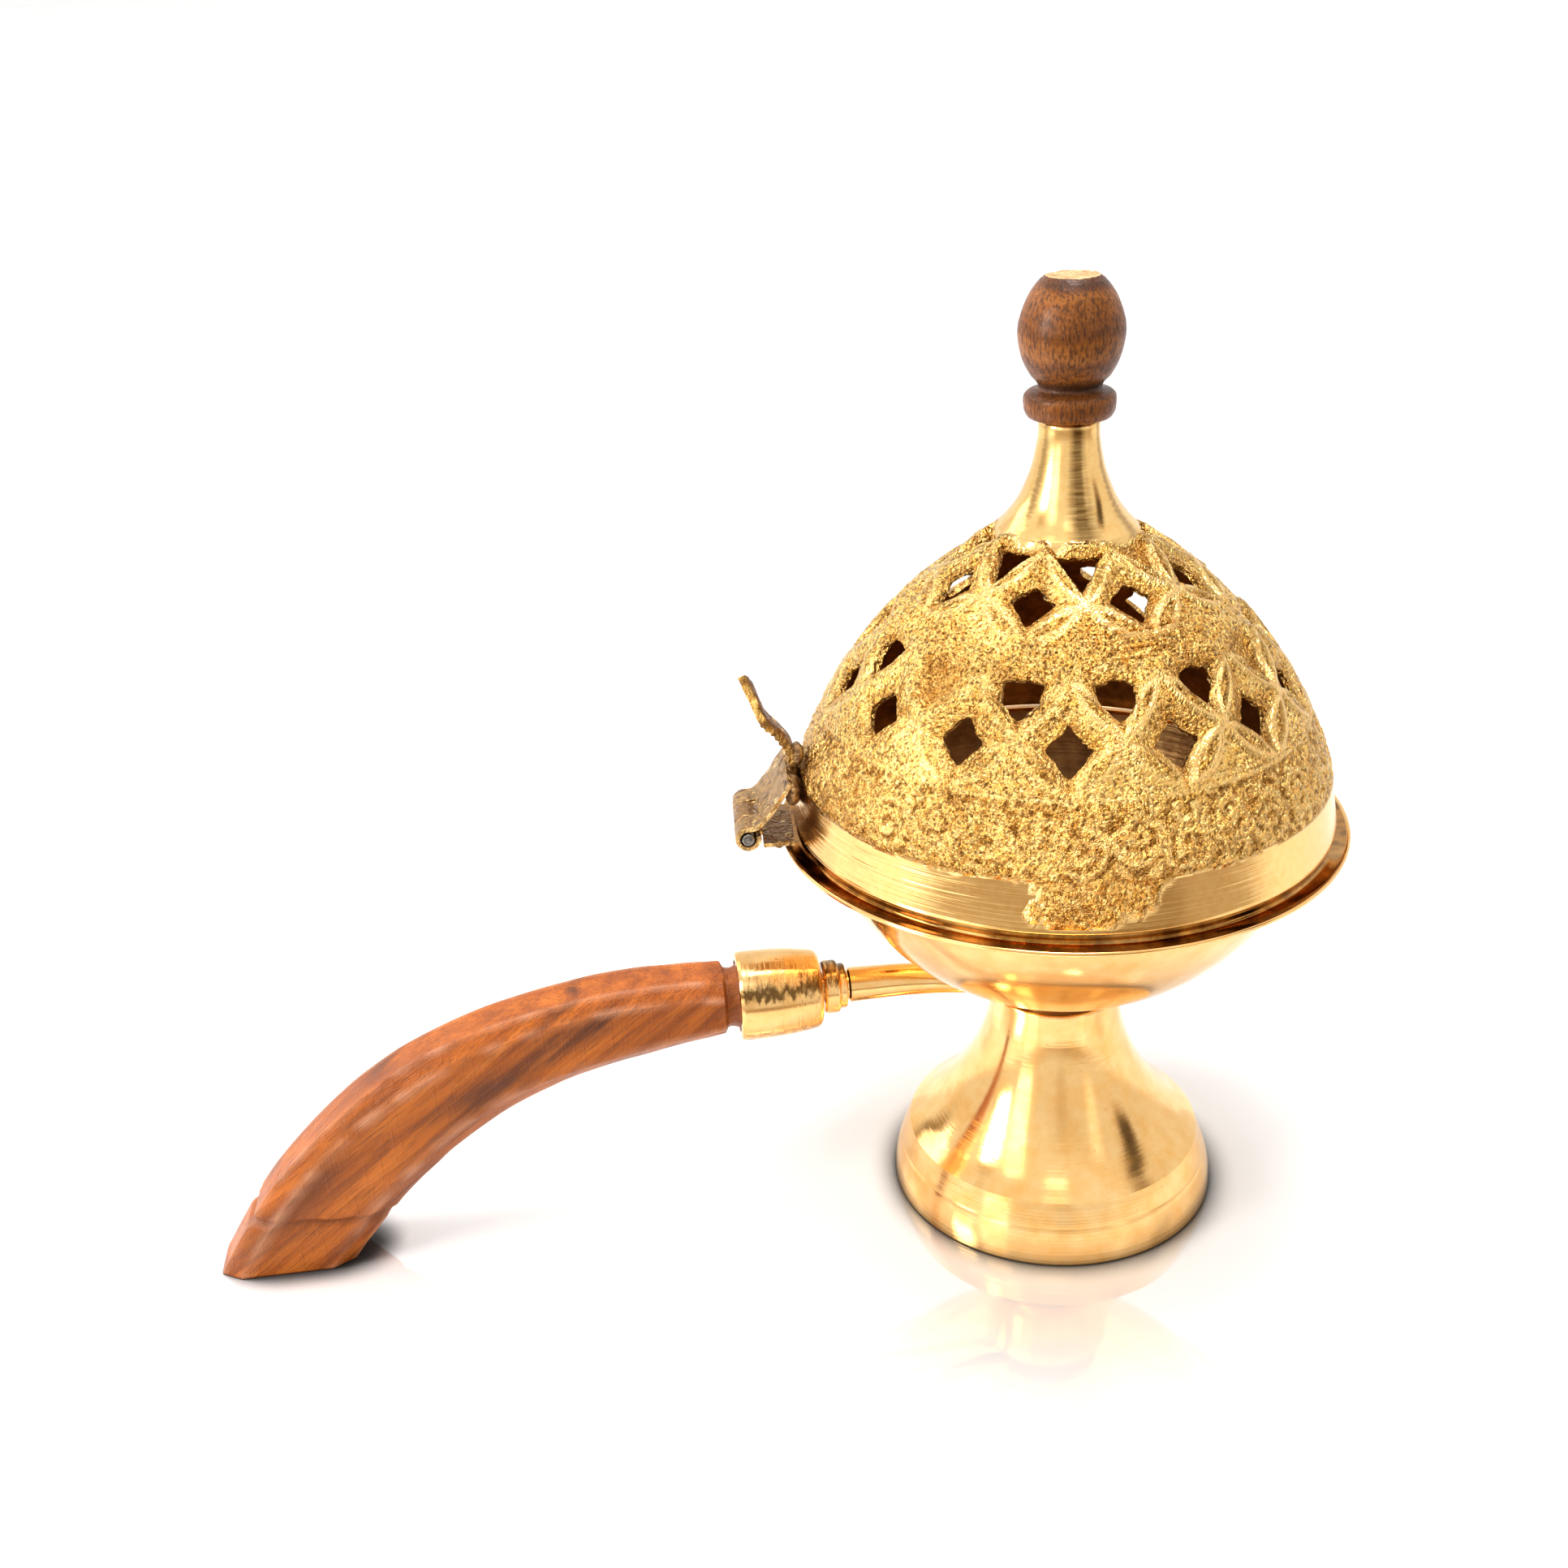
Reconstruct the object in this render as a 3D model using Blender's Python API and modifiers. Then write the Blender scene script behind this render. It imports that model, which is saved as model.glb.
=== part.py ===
"""Hand censer: pierced brass lid hinged on a footed brass bowl, with a rod and a curved wooden handle.

World frame in metres, +Z up. The floor is z = 0 and the handle runs along -X.
The origin is the centre of the bounding box's bottom face.
Lengths below are in millimetres and are turned to metres by mm().
"""
import bpy
import bmesh
import math
from mathutils import Vector, Matrix

for ob in list(bpy.data.objects):
    bpy.data.objects.remove(ob, do_unlink=True)

# ---------------------------------------------------------------- dimensions (mm)
RIM_R = 50.0            # outer radius of the bowl's lip
TIP_R = 159.5           # handle tip, from the censer's axis
AXIS_X = (TIP_R - RIM_R) / 2.0      # the censer's own axis stands here
GAP = 0.3               # clearance between touching pieces

FOOT_R = 30.4           # base circle
SHOULDER_R, SHOULDER_Z = 27.4, 11.7
STEM_R, STEM_TOP_Z = 12.0, 41.5
FOOT_WALL = 1.8
FOOT_TOP_T = 2.5

BOWL_R, BOWL_CZ = 45.9, 89.5        # spherical bowl, outside radius and centre height
BOWL_WALL = 1.6
SEAT_Z, SEAT_R = 78.7, 46.6         # raised seat that the lid stands on
LIP_Z, LIP_T = 77.4, 0.9

LID_Z = 79.0            # lid's lower edge
LID_R = 47.5
LID_WALL = 2.0
NECK_TOP_Z = 148.3
NECK_BORE_R, NECK_BORE_TOP_Z = 3.4, 145.3

LOW_COUNT = 14          # cells round the lower pierced row
UP_COUNT = 8            # cells round the upper pierced row
LOW_PHASE, UP_PHASE = 204.2, 194.6  # degrees, first diamond of each row
HAND_CUT, HAND_CUT_AT = 2.2, 248.0  # the pattern is spaced by hand: uneven by this many degrees
LOW_SOLID_TRIANGLES = (0, 4, 9)     # cells cast but not pierced
UP_SOLID_TRIANGLES = (2, 5)
UP_SOLID_DIAMONDS = (4,)

HINGE_AZ = 176.2        # degrees round the censer's axis
PIN_U, PIN_Z = 56.0, 79.85
PIN_R, KNUCKLE_BORE, KNUCKLE_R = 1.1, 1.4, 2.25
HINGE_W = 16.3
KNUCKLE_MID_W = 5.4
LEAF_T = 0.85
LEVER_W, LEVER_T = 5.2, 1.4

ROD_Z, ROD_R = 45.9, 3.3
ROD_CORE_R = 2.6
EYE_R, EYE_Z0, EYE_Z1 = 7.5, 41.8, 43.3
SCREW_R, SCREW_HOLE_R = 1.9, 2.3

COLLAR_U0, COLLAR_U1, COLLAR_R = 39.7, 44.0, 4.9
FERRULE_U0, FERRULE_U1 = 44.5, 59.7
FERRULE_R0, FERRULE_R1, FERRULE_BORE = 7.0, 8.2, 6.6
TENON_R, TENON_U0 = 6.2, 48.2
HANDLE_U0 = 62.5
HANDLE_HALF_W, HANDLE_CHAMFER = 6.6, 2.4

KNOB_Z0, KNOB_Z1 = 148.7, 171.3
KNOB_BORE_R, KNOB_BORE_TOP = 1.7, 163.0

SEG_LARGE, SEG_MID, SEG_SMALL = 48, 32, 16


def mm(v):
    return v * 0.001


# ---------------------------------------------------------------- collections, materials
def collection(name):
    c = bpy.data.collections.get(name) or bpy.data.collections.new(name)
    if name not in bpy.context.scene.collection.children:
        bpy.context.scene.collection.children.link(c)
    return c


PARTS = collection("hand_censer")
CUTTERS = collection("cutters")


def material(name, colour, rough, metal):
    m = bpy.data.materials.new(name)
    m.use_nodes = True
    b = m.node_tree.nodes["Principled BSDF"]
    b.inputs["Base Color"].default_value = (*colour, 1.0)
    b.inputs["Roughness"].default_value = rough
    b.inputs["Metallic"].default_value = metal
    m.diffuse_color = (*colour, 1.0)
    return m


BRASS = (0.82, 0.55, 0.18)
BRONZE = (0.33, 0.20, 0.08)
WOOD = (0.42, 0.17, 0.06)


def add(name, mesh, mat, where=PARTS):
    ob = bpy.data.objects.new(name, mesh)
    where.objects.link(ob)
    if mat is not None:
        ob.data.materials.clear()
        ob.data.materials.append(mat)
    return ob


# ---------------------------------------------------------------- curves through stations
def spline(stations, n):
    """Points of a centripetal-like Catmull-Rom curve through (a, b) stations, n per span."""
    p = [Vector((a, b)) for a, b in stations]
    p = [p[0] * 2 - p[1]] + p + [p[-1] * 2 - p[-2]]
    out = []
    for i in range(1, len(p) - 2):
        for k in range(n):
            t = k / n
            a = p[i] * 2
            b = (p[i + 1] - p[i - 1]) * t
            c = (p[i - 1] * 2 - p[i] * 5 + p[i + 1] * 4 - p[i + 2]) * t * t
            d = (p[i] * 3 - p[i - 1] - p[i + 1] * 3 + p[i + 2]) * t * t * t
            out.append((a + b + c + d) * 0.5)
    out.append(p[-2].copy())
    return [(q.x, q.y) for q in out]


def offset_line(points, dist):
    """The open polyline moved sideways by dist, to the right of its direction."""
    v = [Vector(p) for p in points]
    out = []
    for i, q in enumerate(v):
        a = v[max(i - 1, 0)]
        b = v[min(i + 1, len(v) - 1)]
        t = (b - a).normalized()
        out.append((q.x + t.y * dist, q.y - t.x * dist))
    return out


# ---------------------------------------------------------------- shape helpers
def smooth(mesh, angle=35.0):
    mesh.shade_smooth()
    mesh.set_sharp_from_angle(angle=math.radians(angle))


def turned(name, profile, steps, mat, closed=True, where=PARTS):
    """Screw modifier on an (r, z) profile in mm, outer side first, top to bottom."""
    me = bpy.data.meshes.new(name)
    verts = [(mm(r), 0.0, mm(z)) for r, z in profile]
    n = len(verts)
    edges = [(i, i + 1) for i in range(n - 1)]
    if closed:
        edges.append((n - 1, 0))
    me.from_pydata(verts, edges, [])
    ob = add(name, me, mat, where)
    sc = ob.modifiers.new("turn", 'SCREW')
    sc.axis = 'Z'
    sc.angle = math.tau
    sc.steps = steps
    sc.render_steps = steps
    sc.use_merge_vertices = True
    sc.merge_threshold = 0.00001
    sc.use_smooth_shade = True
    return ob


def bake(ob):
    """Replace the object's mesh by its evaluated mesh."""
    bpy.context.view_layer.update()
    dg = bpy.context.evaluated_depsgraph_get()
    me = bpy.data.meshes.new_from_object(ob.evaluated_get(dg))
    ob.modifiers.clear()
    ob.data = me
    return ob


def outward(ob):
    bm = bmesh.new()
    bm.from_mesh(ob.data)
    bmesh.ops.remove_doubles(bm, verts=bm.verts, dist=0.0000005)
    bmesh.ops.recalc_face_normals(bm, faces=bm.faces)
    bm.to_mesh(ob.data)
    bm.free()


def cylinder(name, r, z0, z1, seg, mat, where=PARTS):
    me = bpy.data.meshes.new(name)
    bm = bmesh.new()
    bmesh.ops.create_cone(bm, cap_ends=True, cap_tris=False, segments=seg, radius1=mm(r), radius2=mm(r),
                          depth=mm(z1 - z0), matrix=Matrix.Translation((0, 0, mm((z0 + z1) / 2))))
    bm.to_mesh(me)
    bm.free()
    return add(name, me, mat, where)


def plate(name, outline, width, mat, where=PARTS, centre=0.0):
    """A closed (x, z) outline in mm, extruded along Y by width about y = centre."""
    me = bpy.data.meshes.new(name)
    bm = bmesh.new()
    vs = [bm.verts.new((mm(x), mm(centre - width / 2), mm(z))) for x, z in outline]
    f = bm.faces.new(vs)
    g = bmesh.ops.extrude_face_region(bm, geom=[f])
    new = [e for e in g["geom"] if isinstance(e, bmesh.types.BMVert)]
    bmesh.ops.translate(bm, verts=new, vec=(0, mm(width), 0))
    bmesh.ops.recalc_face_normals(bm, faces=bm.faces)
    bm.to_mesh(me)
    bm.free()
    return add(name, me, mat, where)


def strip_outline(path, thick):
    a = offset_line(path, thick / 2)
    b = offset_line(path, -thick / 2)
    return a + b[::-1]


def block(name, x0, x1, y0, y1, z0, z1):
    me = bpy.data.meshes.new(name)
    bm = bmesh.new()
    bmesh.ops.create_cube(bm, size=1.0)
    bmesh.ops.scale(bm, vec=(mm(x1 - x0), mm(y1 - y0), mm(z1 - z0)), verts=bm.verts)
    bmesh.ops.translate(bm, vec=(mm((x0 + x1) / 2), mm((y0 + y1) / 2), mm((z0 + z1) / 2)), verts=bm.verts)
    bm.to_mesh(me)
    bm.free()
    return add(name, me, None, CUTTERS)


def boolean(ob, cutter, op='DIFFERENCE'):
    m = ob.modifiers.new(op.lower(), 'BOOLEAN')
    m.operation = op
    m.solver = 'EXACT'
    m.object = cutter
    cutter.hide_render = True
    cutter.display_type = 'WIRE'
    return ob


def finish(ob, angle=35.0):
    bake(ob)
    smooth(ob.data, angle)
    return ob


# ================================================================ foot
stem = spline([(STEM_R, STEM_TOP_Z - 0.4), (12.15, 38.0), (12.7, 34.5), (13.9, 30.3), (15.7, 26.0),
               (18.1, 21.8), (21.0, 17.9), (24.2, 14.4), (SHOULDER_R, SHOULDER_Z)], 1)
band = spline([(SHOULDER_R, SHOULDER_Z), (28.5, 8.8), (29.5, 6.0), (30.15, 3.4), (FOOT_R, 0.0)], 1)
outer = [(STEM_R - 0.4, STEM_TOP_Z)] + stem + band[1:]
inner_full = offset_line(stem + band[1:], FOOT_WALL)
top_in = STEM_TOP_Z - FOOT_TOP_T
inner = [(r, z) for r, z in inner_full if 1.0 < z < top_in - 0.8]
inner = [(inner[0][0], top_in)] + inner + [(FOOT_R - FOOT_WALL - 0.2, 0.0)]
foot_profile = outer + inner[::-1] + [(SCREW_HOLE_R, top_in), (SCREW_HOLE_R, STEM_TOP_Z)]
foot = turned("foot", foot_profile, SEG_MID, material("cast_brass_foot", BRASS, 0.22, 1.0))
finish(foot, 40)

# ================================================================ bowl
def sphere_r(radius, z):
    return math.sqrt(max(radius ** 2 - (BOWL_CZ - z) ** 2, 0.0))


def arc(radius, r0, r1, n):
    """Points on the bowl's sphere from radius r0 to r1 about the axis."""
    a0, a1 = math.asin(r0 / radius), math.asin(r1 / radius)
    out = []
    for i in range(n + 1):
        a = a0 + (a1 - a0) * i / n
        out.append((radius * math.sin(a), BOWL_CZ - radius * math.cos(a)))
    return out


inner_r = BOWL_R - BOWL_WALL
bowl_profile = ([(sphere_r(inner_r, SEAT_Z), SEAT_Z), (SEAT_R - 0.3, SEAT_Z), (SEAT_R, SEAT_Z - 0.3),
                 (SEAT_R + 0.2, LIP_Z - 0.25), (48.2, LIP_Z - 0.35), (49.3, LIP_Z - 0.2), (49.8, LIP_Z + 0.1),
                 (RIM_R, LIP_Z - 0.15), (RIM_R, LIP_Z - 0.6), (49.6, LIP_Z - LIP_T), (47.5, 76.1), (45.6, 75.6),
                 (44.0, 74.6)]
                + arc(BOWL_R, sphere_r(BOWL_R, 73.4), SCREW_HOLE_R, 8)
                + arc(inner_r, SCREW_HOLE_R, sphere_r(inner_r, SEAT_Z), 9)[:-1])
bowl = turned("bowl", bowl_profile, SEG_LARGE, material("spun_brass_bowl", BRASS, 0.16, 1.0))
finish(bowl, 30)

# ================================================================ centre screw, washer, nut
steel = material("plated_steel", (0.55, 0.53, 0.48), 0.35, 1.0)
washer_z = 45.85
centre_washer = turned("centre_washer", [(SCREW_HOLE_R, washer_z + 0.8), (5.0, washer_z + 0.8), (5.0, washer_z),
                                         (SCREW_HOLE_R, washer_z)], SEG_SMALL, steel)
finish(centre_washer, 30)
head_z = washer_z + 0.8 + GAP
centre_screw = turned("centre_screw", [(0, head_z + 2.2), (1.8, head_z + 2.1), (3.1, head_z + 1.6), (3.7, head_z + 0.8),
                                       (3.7, head_z), (SCREW_R, head_z), (SCREW_R, 33.6), (1.5, 33.0), (0, 33.0)],
                      SEG_SMALL, steel, closed=False)
bake(centre_screw)
slot = block("screw_slot_cutter", -4.5, 4.5, -0.4, 0.4, head_z + 1.2, head_z + 3.0)
boolean(centre_screw, slot)
finish(centre_screw, 30)
nut = cylinder("foot_nut", 4.04, 35.7, STEM_TOP_Z - FOOT_TOP_T - GAP, 6, steel)
nut_bore = cylinder("nut_bore_cutter", SCREW_HOLE_R - 0.05, 34.0, 41.0, SEG_SMALL, None, CUTTERS)
boolean(nut, nut_bore)
finish(nut, 20)

# ================================================================ handle rod with its eye
def ring_loft(name, stations, seg, mat):
    """Skin through rings: each station is (u, z, half width, half height); u runs along -X."""
    me = bpy.data.meshes.new(name)
    bm = bmesh.new()
    rings = []
    for u, z, w, h in stations:
        rings.append([bm.verts.new((mm(-u), mm(w * math.cos(math.tau * k / seg)), mm(z + h * math.sin(math.tau * k / seg))))
                      for k in range(seg)])
    for a, b in zip(rings, rings[1:]):
        for k in range(seg):
            bm.faces.new((a[k], a[(k + 1) % seg], b[(k + 1) % seg], b[k]))
    bm.faces.new(rings[0][::-1])
    bm.faces.new(rings[-1])
    bmesh.ops.recalc_face_normals(bm, faces=bm.faces)
    bm.to_mesh(me)
    bm.free()
    return add(name, me, mat)


eye_mid = (EYE_Z0 + EYE_Z1) / 2
rod = ring_loft("handle_rod", [(3.2, eye_mid, 4.6, 0.62), (8.5, eye_mid + 0.02, 4.4, 0.66), (12.0, 42.85, 3.9, 0.95),
                               (15.0, 43.55, 3.5, 1.6), (18.5, 44.6, 3.1, 2.4), (23.0, 45.4, 3.0, 2.85),
                               (28.0, 45.8, 3.0, 3.0), (34.0, ROD_Z, 3.15, 3.15), (39.0, ROD_Z, ROD_R, ROD_R),
                               (39.3, ROD_Z, ROD_CORE_R, ROD_CORE_R), (54.6, ROD_Z, ROD_CORE_R, ROD_CORE_R),
                               (55.4, ROD_Z, 2.0, 2.0)], SEG_SMALL, material("drawn_brass_rod", BRASS, 0.25, 1.0))
eye = cylinder("rod_eye_join", EYE_R, EYE_Z0, EYE_Z1, SEG_MID, None, CUTTERS)
boolean(rod, eye, 'UNION')
eye_hole = cylinder("rod_eye_hole_cutter", SCREW_HOLE_R, EYE_Z0 - 2, EYE_Z1 + 2, SEG_SMALL, None, CUTTERS)
boolean(rod, eye_hole)
finish(rod, 40)


def turned_along_handle(name, profile, steps, mat):
    """Profile of (radius about the rod, u) pairs: turned about Z, then laid along -X at the rod's height."""
    ob = turned(name, [(r, u) for r, u in profile], steps, mat)
    bake(ob)
    ob.data.transform(Matrix.Rotation(math.radians(-90), 4, 'Y'))
    ob.data.transform(Matrix.Translation((0, 0, mm(ROD_Z))))
    return ob


bore = ROD_CORE_R + GAP
collar = turned_along_handle("rod_collar", [(bore, COLLAR_U1), (4.6, COLLAR_U1), (COLLAR_R, COLLAR_U1 - 0.3),
                                            (COLLAR_R, COLLAR_U0 + 1.6), (4.6, COLLAR_U0 + 1.3), (4.1, COLLAR_U0 + 1.2),
                                            (4.1, COLLAR_U0 + 0.2), (3.9, COLLAR_U0), (bore, COLLAR_U0)],
                             SEG_SMALL, material("turned_brass_collar", BRASS, 0.2, 1.0))
smooth(collar.data, 30)
ferrule_outer = spline([(8.1, FERRULE_U1 - 0.2), (FERRULE_R1, FERRULE_U1 - 0.8), (8.15, 55.5), (8.0, 51.5),
                        (7.6, 48.0), (FERRULE_R0, FERRULE_U0 + 0.5)], 1)
ferrule = turned_along_handle("ferrule", [(FERRULE_BORE, FERRULE_U1), (7.9, FERRULE_U1)] + ferrule_outer
                              + [(FERRULE_R0 - 0.4, FERRULE_U0), (bore, FERRULE_U0), (bore, FERRULE_U0 + 2.8),
                                 (FERRULE_BORE, FERRULE_U0 + 2.8)],
                              SEG_MID, material("turned_brass_ferrule", BRASS, 0.2, 1.0))
smooth(ferrule.data, 30)

# ================================================================ wooden handle
back = spline([(HANDLE_U0, 51.6), (70.0, 52.0), (84.0, 51.5), (99.0, 48.8), (111.5, 45.0), (124.0, 38.9),
               (137.0, 28.9), (147.6, 17.9), (155.0, 7.3), (TIP_R, 0.0)], 3)
belly = spline([(134.6, 0.0), (130.8, 4.9), (123.9, 13.0), (117.1, 19.5), (110.4, 24.8), (98.0, 32.0),
                (85.8, 36.3), (70.8, 39.3), (HANDLE_U0, 40.3)], 3)
outline = [(-u, z) for u, z in back + belly]
handle = plate("wooden_handle", outline, 2 * HANDLE_HALF_W, material("rosewood_handle", WOOD, 0.45, 0.0))
bm = bmesh.new()
bm.from_mesh(handle.data)
long_edges = []
for e in bm.edges:
    a, b = e.verts[0].co, e.verts[1].co
    on_side = abs(a.y - b.y) < 1e-7
    on_floor = abs(a.z) < 1e-7 and abs(b.z) < 1e-7
    at_shoulder = abs(a.x + mm(HANDLE_U0)) < 1e-6 and abs(b.x + mm(HANDLE_U0)) < 1e-6
    if on_side and not on_floor and not at_shoulder:
        long_edges.append(e)
bmesh.ops.bevel(bm, geom=long_edges, offset=mm(HANDLE_CHAMFER), segments=1, affect='EDGES', clamp_overlap=True)
bmesh.ops.recalc_face_normals(bm, faces=bm.faces)
bm.to_mesh(handle.data)
bm.free()
tenon = turned_along_handle("tenon_join", [(0.0, HANDLE_U0 + 3.0), (TENON_R, HANDLE_U0 + 3.0), (TENON_R, TENON_U0 + 0.4),
                                           (TENON_R - 0.4, TENON_U0), (0.0, TENON_U0)][0:5], SEG_MID, None)
CUTTERS.objects.link(tenon)
PARTS.objects.unlink(tenon)
outward(tenon)
boolean(handle, tenon, 'UNION')
tang_bore = turned_along_handle("tang_bore_cutter", [(0.0, 56.4), (bore, 56.4), (bore, 40.0), (0.0, 40.0)], SEG_SMALL, None)
CUTTERS.objects.link(tang_bore)
PARTS.objects.unlink(tang_bore)
outward(tang_bore)
boolean(handle, tang_bore)
finish(handle, 22)

# ================================================================ lid
neck = [(4.7, NECK_TOP_Z), (5.0, NECK_TOP_Z - 0.3), (5.05, 146.0), (5.35, 143.8), (5.95, 140.9), (6.9, 138.1),
        (8.3, 135.0), (10.4, 132.1), (13.2, 129.5), (16.4, 127.2)]
dome = [(16.4, 127.2), (21.3, 123.5), (26.0, 119.5), (30.1, 115.5), (33.7, 111.5), (36.8, 107.5), (39.5, 103.5),
        (41.6, 99.5), (43.4, 95.5), (45.0, 91.6), (46.2, 87.7)]
band_top = (46.35, 86.6)
lid_outer = spline(neck, 1) + spline(dome, 1)[1:] + [band_top, (46.9, 82.8), (LID_R, LID_Z + 0.2), (LID_R - 0.15, LID_Z)]
shell_line = [(6.9, 138.1), (8.3, 135.0), (10.4, 132.1), (13.2, 129.5)] + dome + [band_top, (46.9, 82.8), (LID_R, LID_Z)]
lid_inner = offset_line(shell_line, LID_WALL)
lid_inner = [(r, z) for r, z in lid_inner if r > NECK_BORE_R + 0.8]
lid_inner[-1] = (lid_inner[-1][0], LID_Z)
lid_profile = lid_outer + lid_inner[::-1] + [(NECK_BORE_R, 138.6), (NECK_BORE_R, NECK_BORE_TOP_Z),
                                             (1.7, NECK_BORE_TOP_Z), (1.7, NECK_TOP_Z)]
lid = turned("lid_dome", lid_profile, SEG_LARGE, material("cast_brass_lid", BRASS, 0.34, 1.0))
bake(lid)


def dome_r(z):
    line = spline(neck, 1) + spline(dome, 1)[1:]
    for (r1, z1), (r0, z0) in zip(line, line[1:]):
        if z0 <= z <= z1:
            return r0 + (r1 - r0) * (z - z0) / (z1 - z0)
    return LID_R


def uneven(az):
    """The founder's pattern is not evenly spaced round the lid."""
    return az + HAND_CUT * math.sin(math.radians(az - HAND_CUT_AT))


def prism(bm, corners, depth_in=5.5, depth_out=3.0):
    """A hole cutter: the corner points (azimuth, z) on the dome, run in and out along the mean normal."""
    pts = []
    for az, z in corners:
        a = math.radians(az)
        r = dome_r(z)
        pts.append(Vector((r * math.cos(a), r * math.sin(a), z)))
    c = sum(pts, Vector()) / len(pts)
    am = math.atan2(c.y, c.x)
    zc = c.z
    slope = (dome_r(zc - 1.0) - dome_r(zc + 1.0)) / 2.0
    n = Vector((math.cos(am), math.sin(am), slope)).normalized()
    outer_v = [bm.verts.new((p + n * depth_out) * 0.001) for p in pts]
    inner_v = [bm.verts.new((p - n * depth_in) * 0.001) for p in pts]
    k = len(pts)
    bm.faces.new(outer_v)
    bm.faces.new(inner_v[::-1])
    for i in range(k):
        bm.faces.new((outer_v[i], inner_v[i], inner_v[(i + 1) % k], outer_v[(i + 1) % k]))


me = bpy.data.meshes.new("lid_hole_cutters")
bm = bmesh.new()
step = 360.0 / LOW_COUNT
for k in range(LOW_COUNT):
    az = LOW_PHASE + k * step
    d = uneven(az)
    prism(bm, [(d, 109.0), (d - 4.8, 106.1), (d, 102.8), (d + 4.8, 106.1)])
    if k not in LOW_SOLID_TRIANGLES:
        t = uneven(az + step / 2)
        prism(bm, [(t - 5.7, 114.0), (t - 4.4, 112.2), (t, 109.8), (t + 4.4, 112.2), (t + 5.7, 114.0), (t, 114.5)])
step = 360.0 / UP_COUNT
for k in range(UP_COUNT):
    az = UP_PHASE + k * step
    d = uneven(az)
    if k not in UP_SOLID_DIAMONDS:
        prism(bm, [(d, 126.0), (d - 9.0, 124.1), (d, 121.5), (d + 9.0, 124.1)])
    if k not in UP_SOLID_TRIANGLES:
        t = uneven(az + step / 2)
        prism(bm, [(t - 14.5, 129.3), (t, 125.6), (t + 14.5, 129.3)], depth_in=4.5)
bmesh.ops.recalc_face_normals(bm, faces=bm.faces)
bm.to_mesh(me)
bm.free()
hole_cutters = add("lid_hole_cutters", me, None, CUTTERS)
boolean(lid, hole_cutters)
finish(lid, 30)

# ================================================================ knob and its screw
ball = spline([(4.2, KNOB_Z1), (5.15, 170.5), (6.8, 168.4), (8.05, 165.6), (8.65, 162.8), (8.45, 160.2), (7.7, 157.7),
               (6.6, 155.6), (5.6, 154.5), (5.25, 153.8)], 1)
knob_profile = ([(0.0, KNOB_Z1)] + ball + [(5.5, 153.2), (6.9, 152.9), (7.5, 152.3), (7.6, 151.2), (7.45, 149.8), (6.9, KNOB_Z0),
                                           (KNOB_BORE_R, KNOB_Z0), (KNOB_BORE_R, KNOB_BORE_TOP), (0.0, KNOB_BORE_TOP)])
knob = turned("knob", knob_profile, 28, material("walnut_knob", (0.22, 0.09, 0.035), 0.4, 0.0), closed=False)
finish(knob, 35)
knob_screw = turned("knob_screw", [(0, 162.0), (0.6, 161.2), (1.35, 159.5), (1.35, NECK_BORE_TOP_Z - GAP),
                                   (2.7, NECK_BORE_TOP_Z - GAP), (2.7, 143.8), (1.6, 143.1), (0, 142.9)],
                    SEG_SMALL, steel, closed=False)
finish(knob_screw, 30)

# ================================================================ hinge, in a frame whose +X is outward from the axis
bronze = material("oxidised_bronze", BRONZE, 0.45, 1.0)
wrap_r = (KNUCKLE_BORE + KNUCKLE_R) / 2
knuckle_t = KNUCKLE_R - KNUCKLE_BORE


def wrap(a0, a1, n):
    """Points round the pin from angle a0 to a1 (degrees, 0 = outward, 90 = up)."""
    return [(PIN_U + wrap_r * math.cos(math.radians(a0 + (a1 - a0) * i / n)),
             PIN_Z + wrap_r * math.sin(math.radians(a0 + (a1 - a0) * i / n))) for i in range(n + 1)]


lid_path = wrap(-195, 95, 20) + spline([(54.9, 81.72), (54.0, 82.1), (52.9, 83.2), (51.3, 85.3), (49.7, 87.6),
                                       (48.35, 89.8)], 2)
bowl_path = wrap(190, -98, 20) + [(54.7, 78.12), (53.3, 78.28), (51.5, 78.32), (47.95, 78.32)]
# the barrel of the lower leaf closes over the top and leaves at the inner side
lid_leaf = plate("lid_hinge_leaf", strip_outline(lid_path, knuckle_t), HINGE_W, bronze)
mid = block("lid_leaf_notch", 53.1, 60.0, -KNUCKLE_MID_W / 2 - GAP, KNUCKLE_MID_W / 2 + GAP, 75.0, 83.9)
boolean(lid_leaf, mid)
bowl_leaf = plate("bowl_hinge_leaf", strip_outline(bowl_path, knuckle_t), HINGE_W - 0.8, bronze)
side_a = block("bowl_leaf_notch_a", 53.3, 60.0, -12.0, -KNUCKLE_MID_W / 2, 75.0, 84.0)
side_b = block("bowl_leaf_notch_b", 53.3, 60.0, KNUCKLE_MID_W / 2, 12.0, 75.0, 84.0)
boolean(bowl_leaf, side_a)
boolean(bowl_leaf, side_b)


def across(ob, u, z):
    """Turn a Z-axis piece to lie along the hinge pin, at (u, z)."""
    ob.data.transform(Matrix.Rotation(math.radians(90), 4, 'X'))
    ob.data.transform(Matrix.Translation((mm(u), 0, mm(z))))
    return ob


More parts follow.
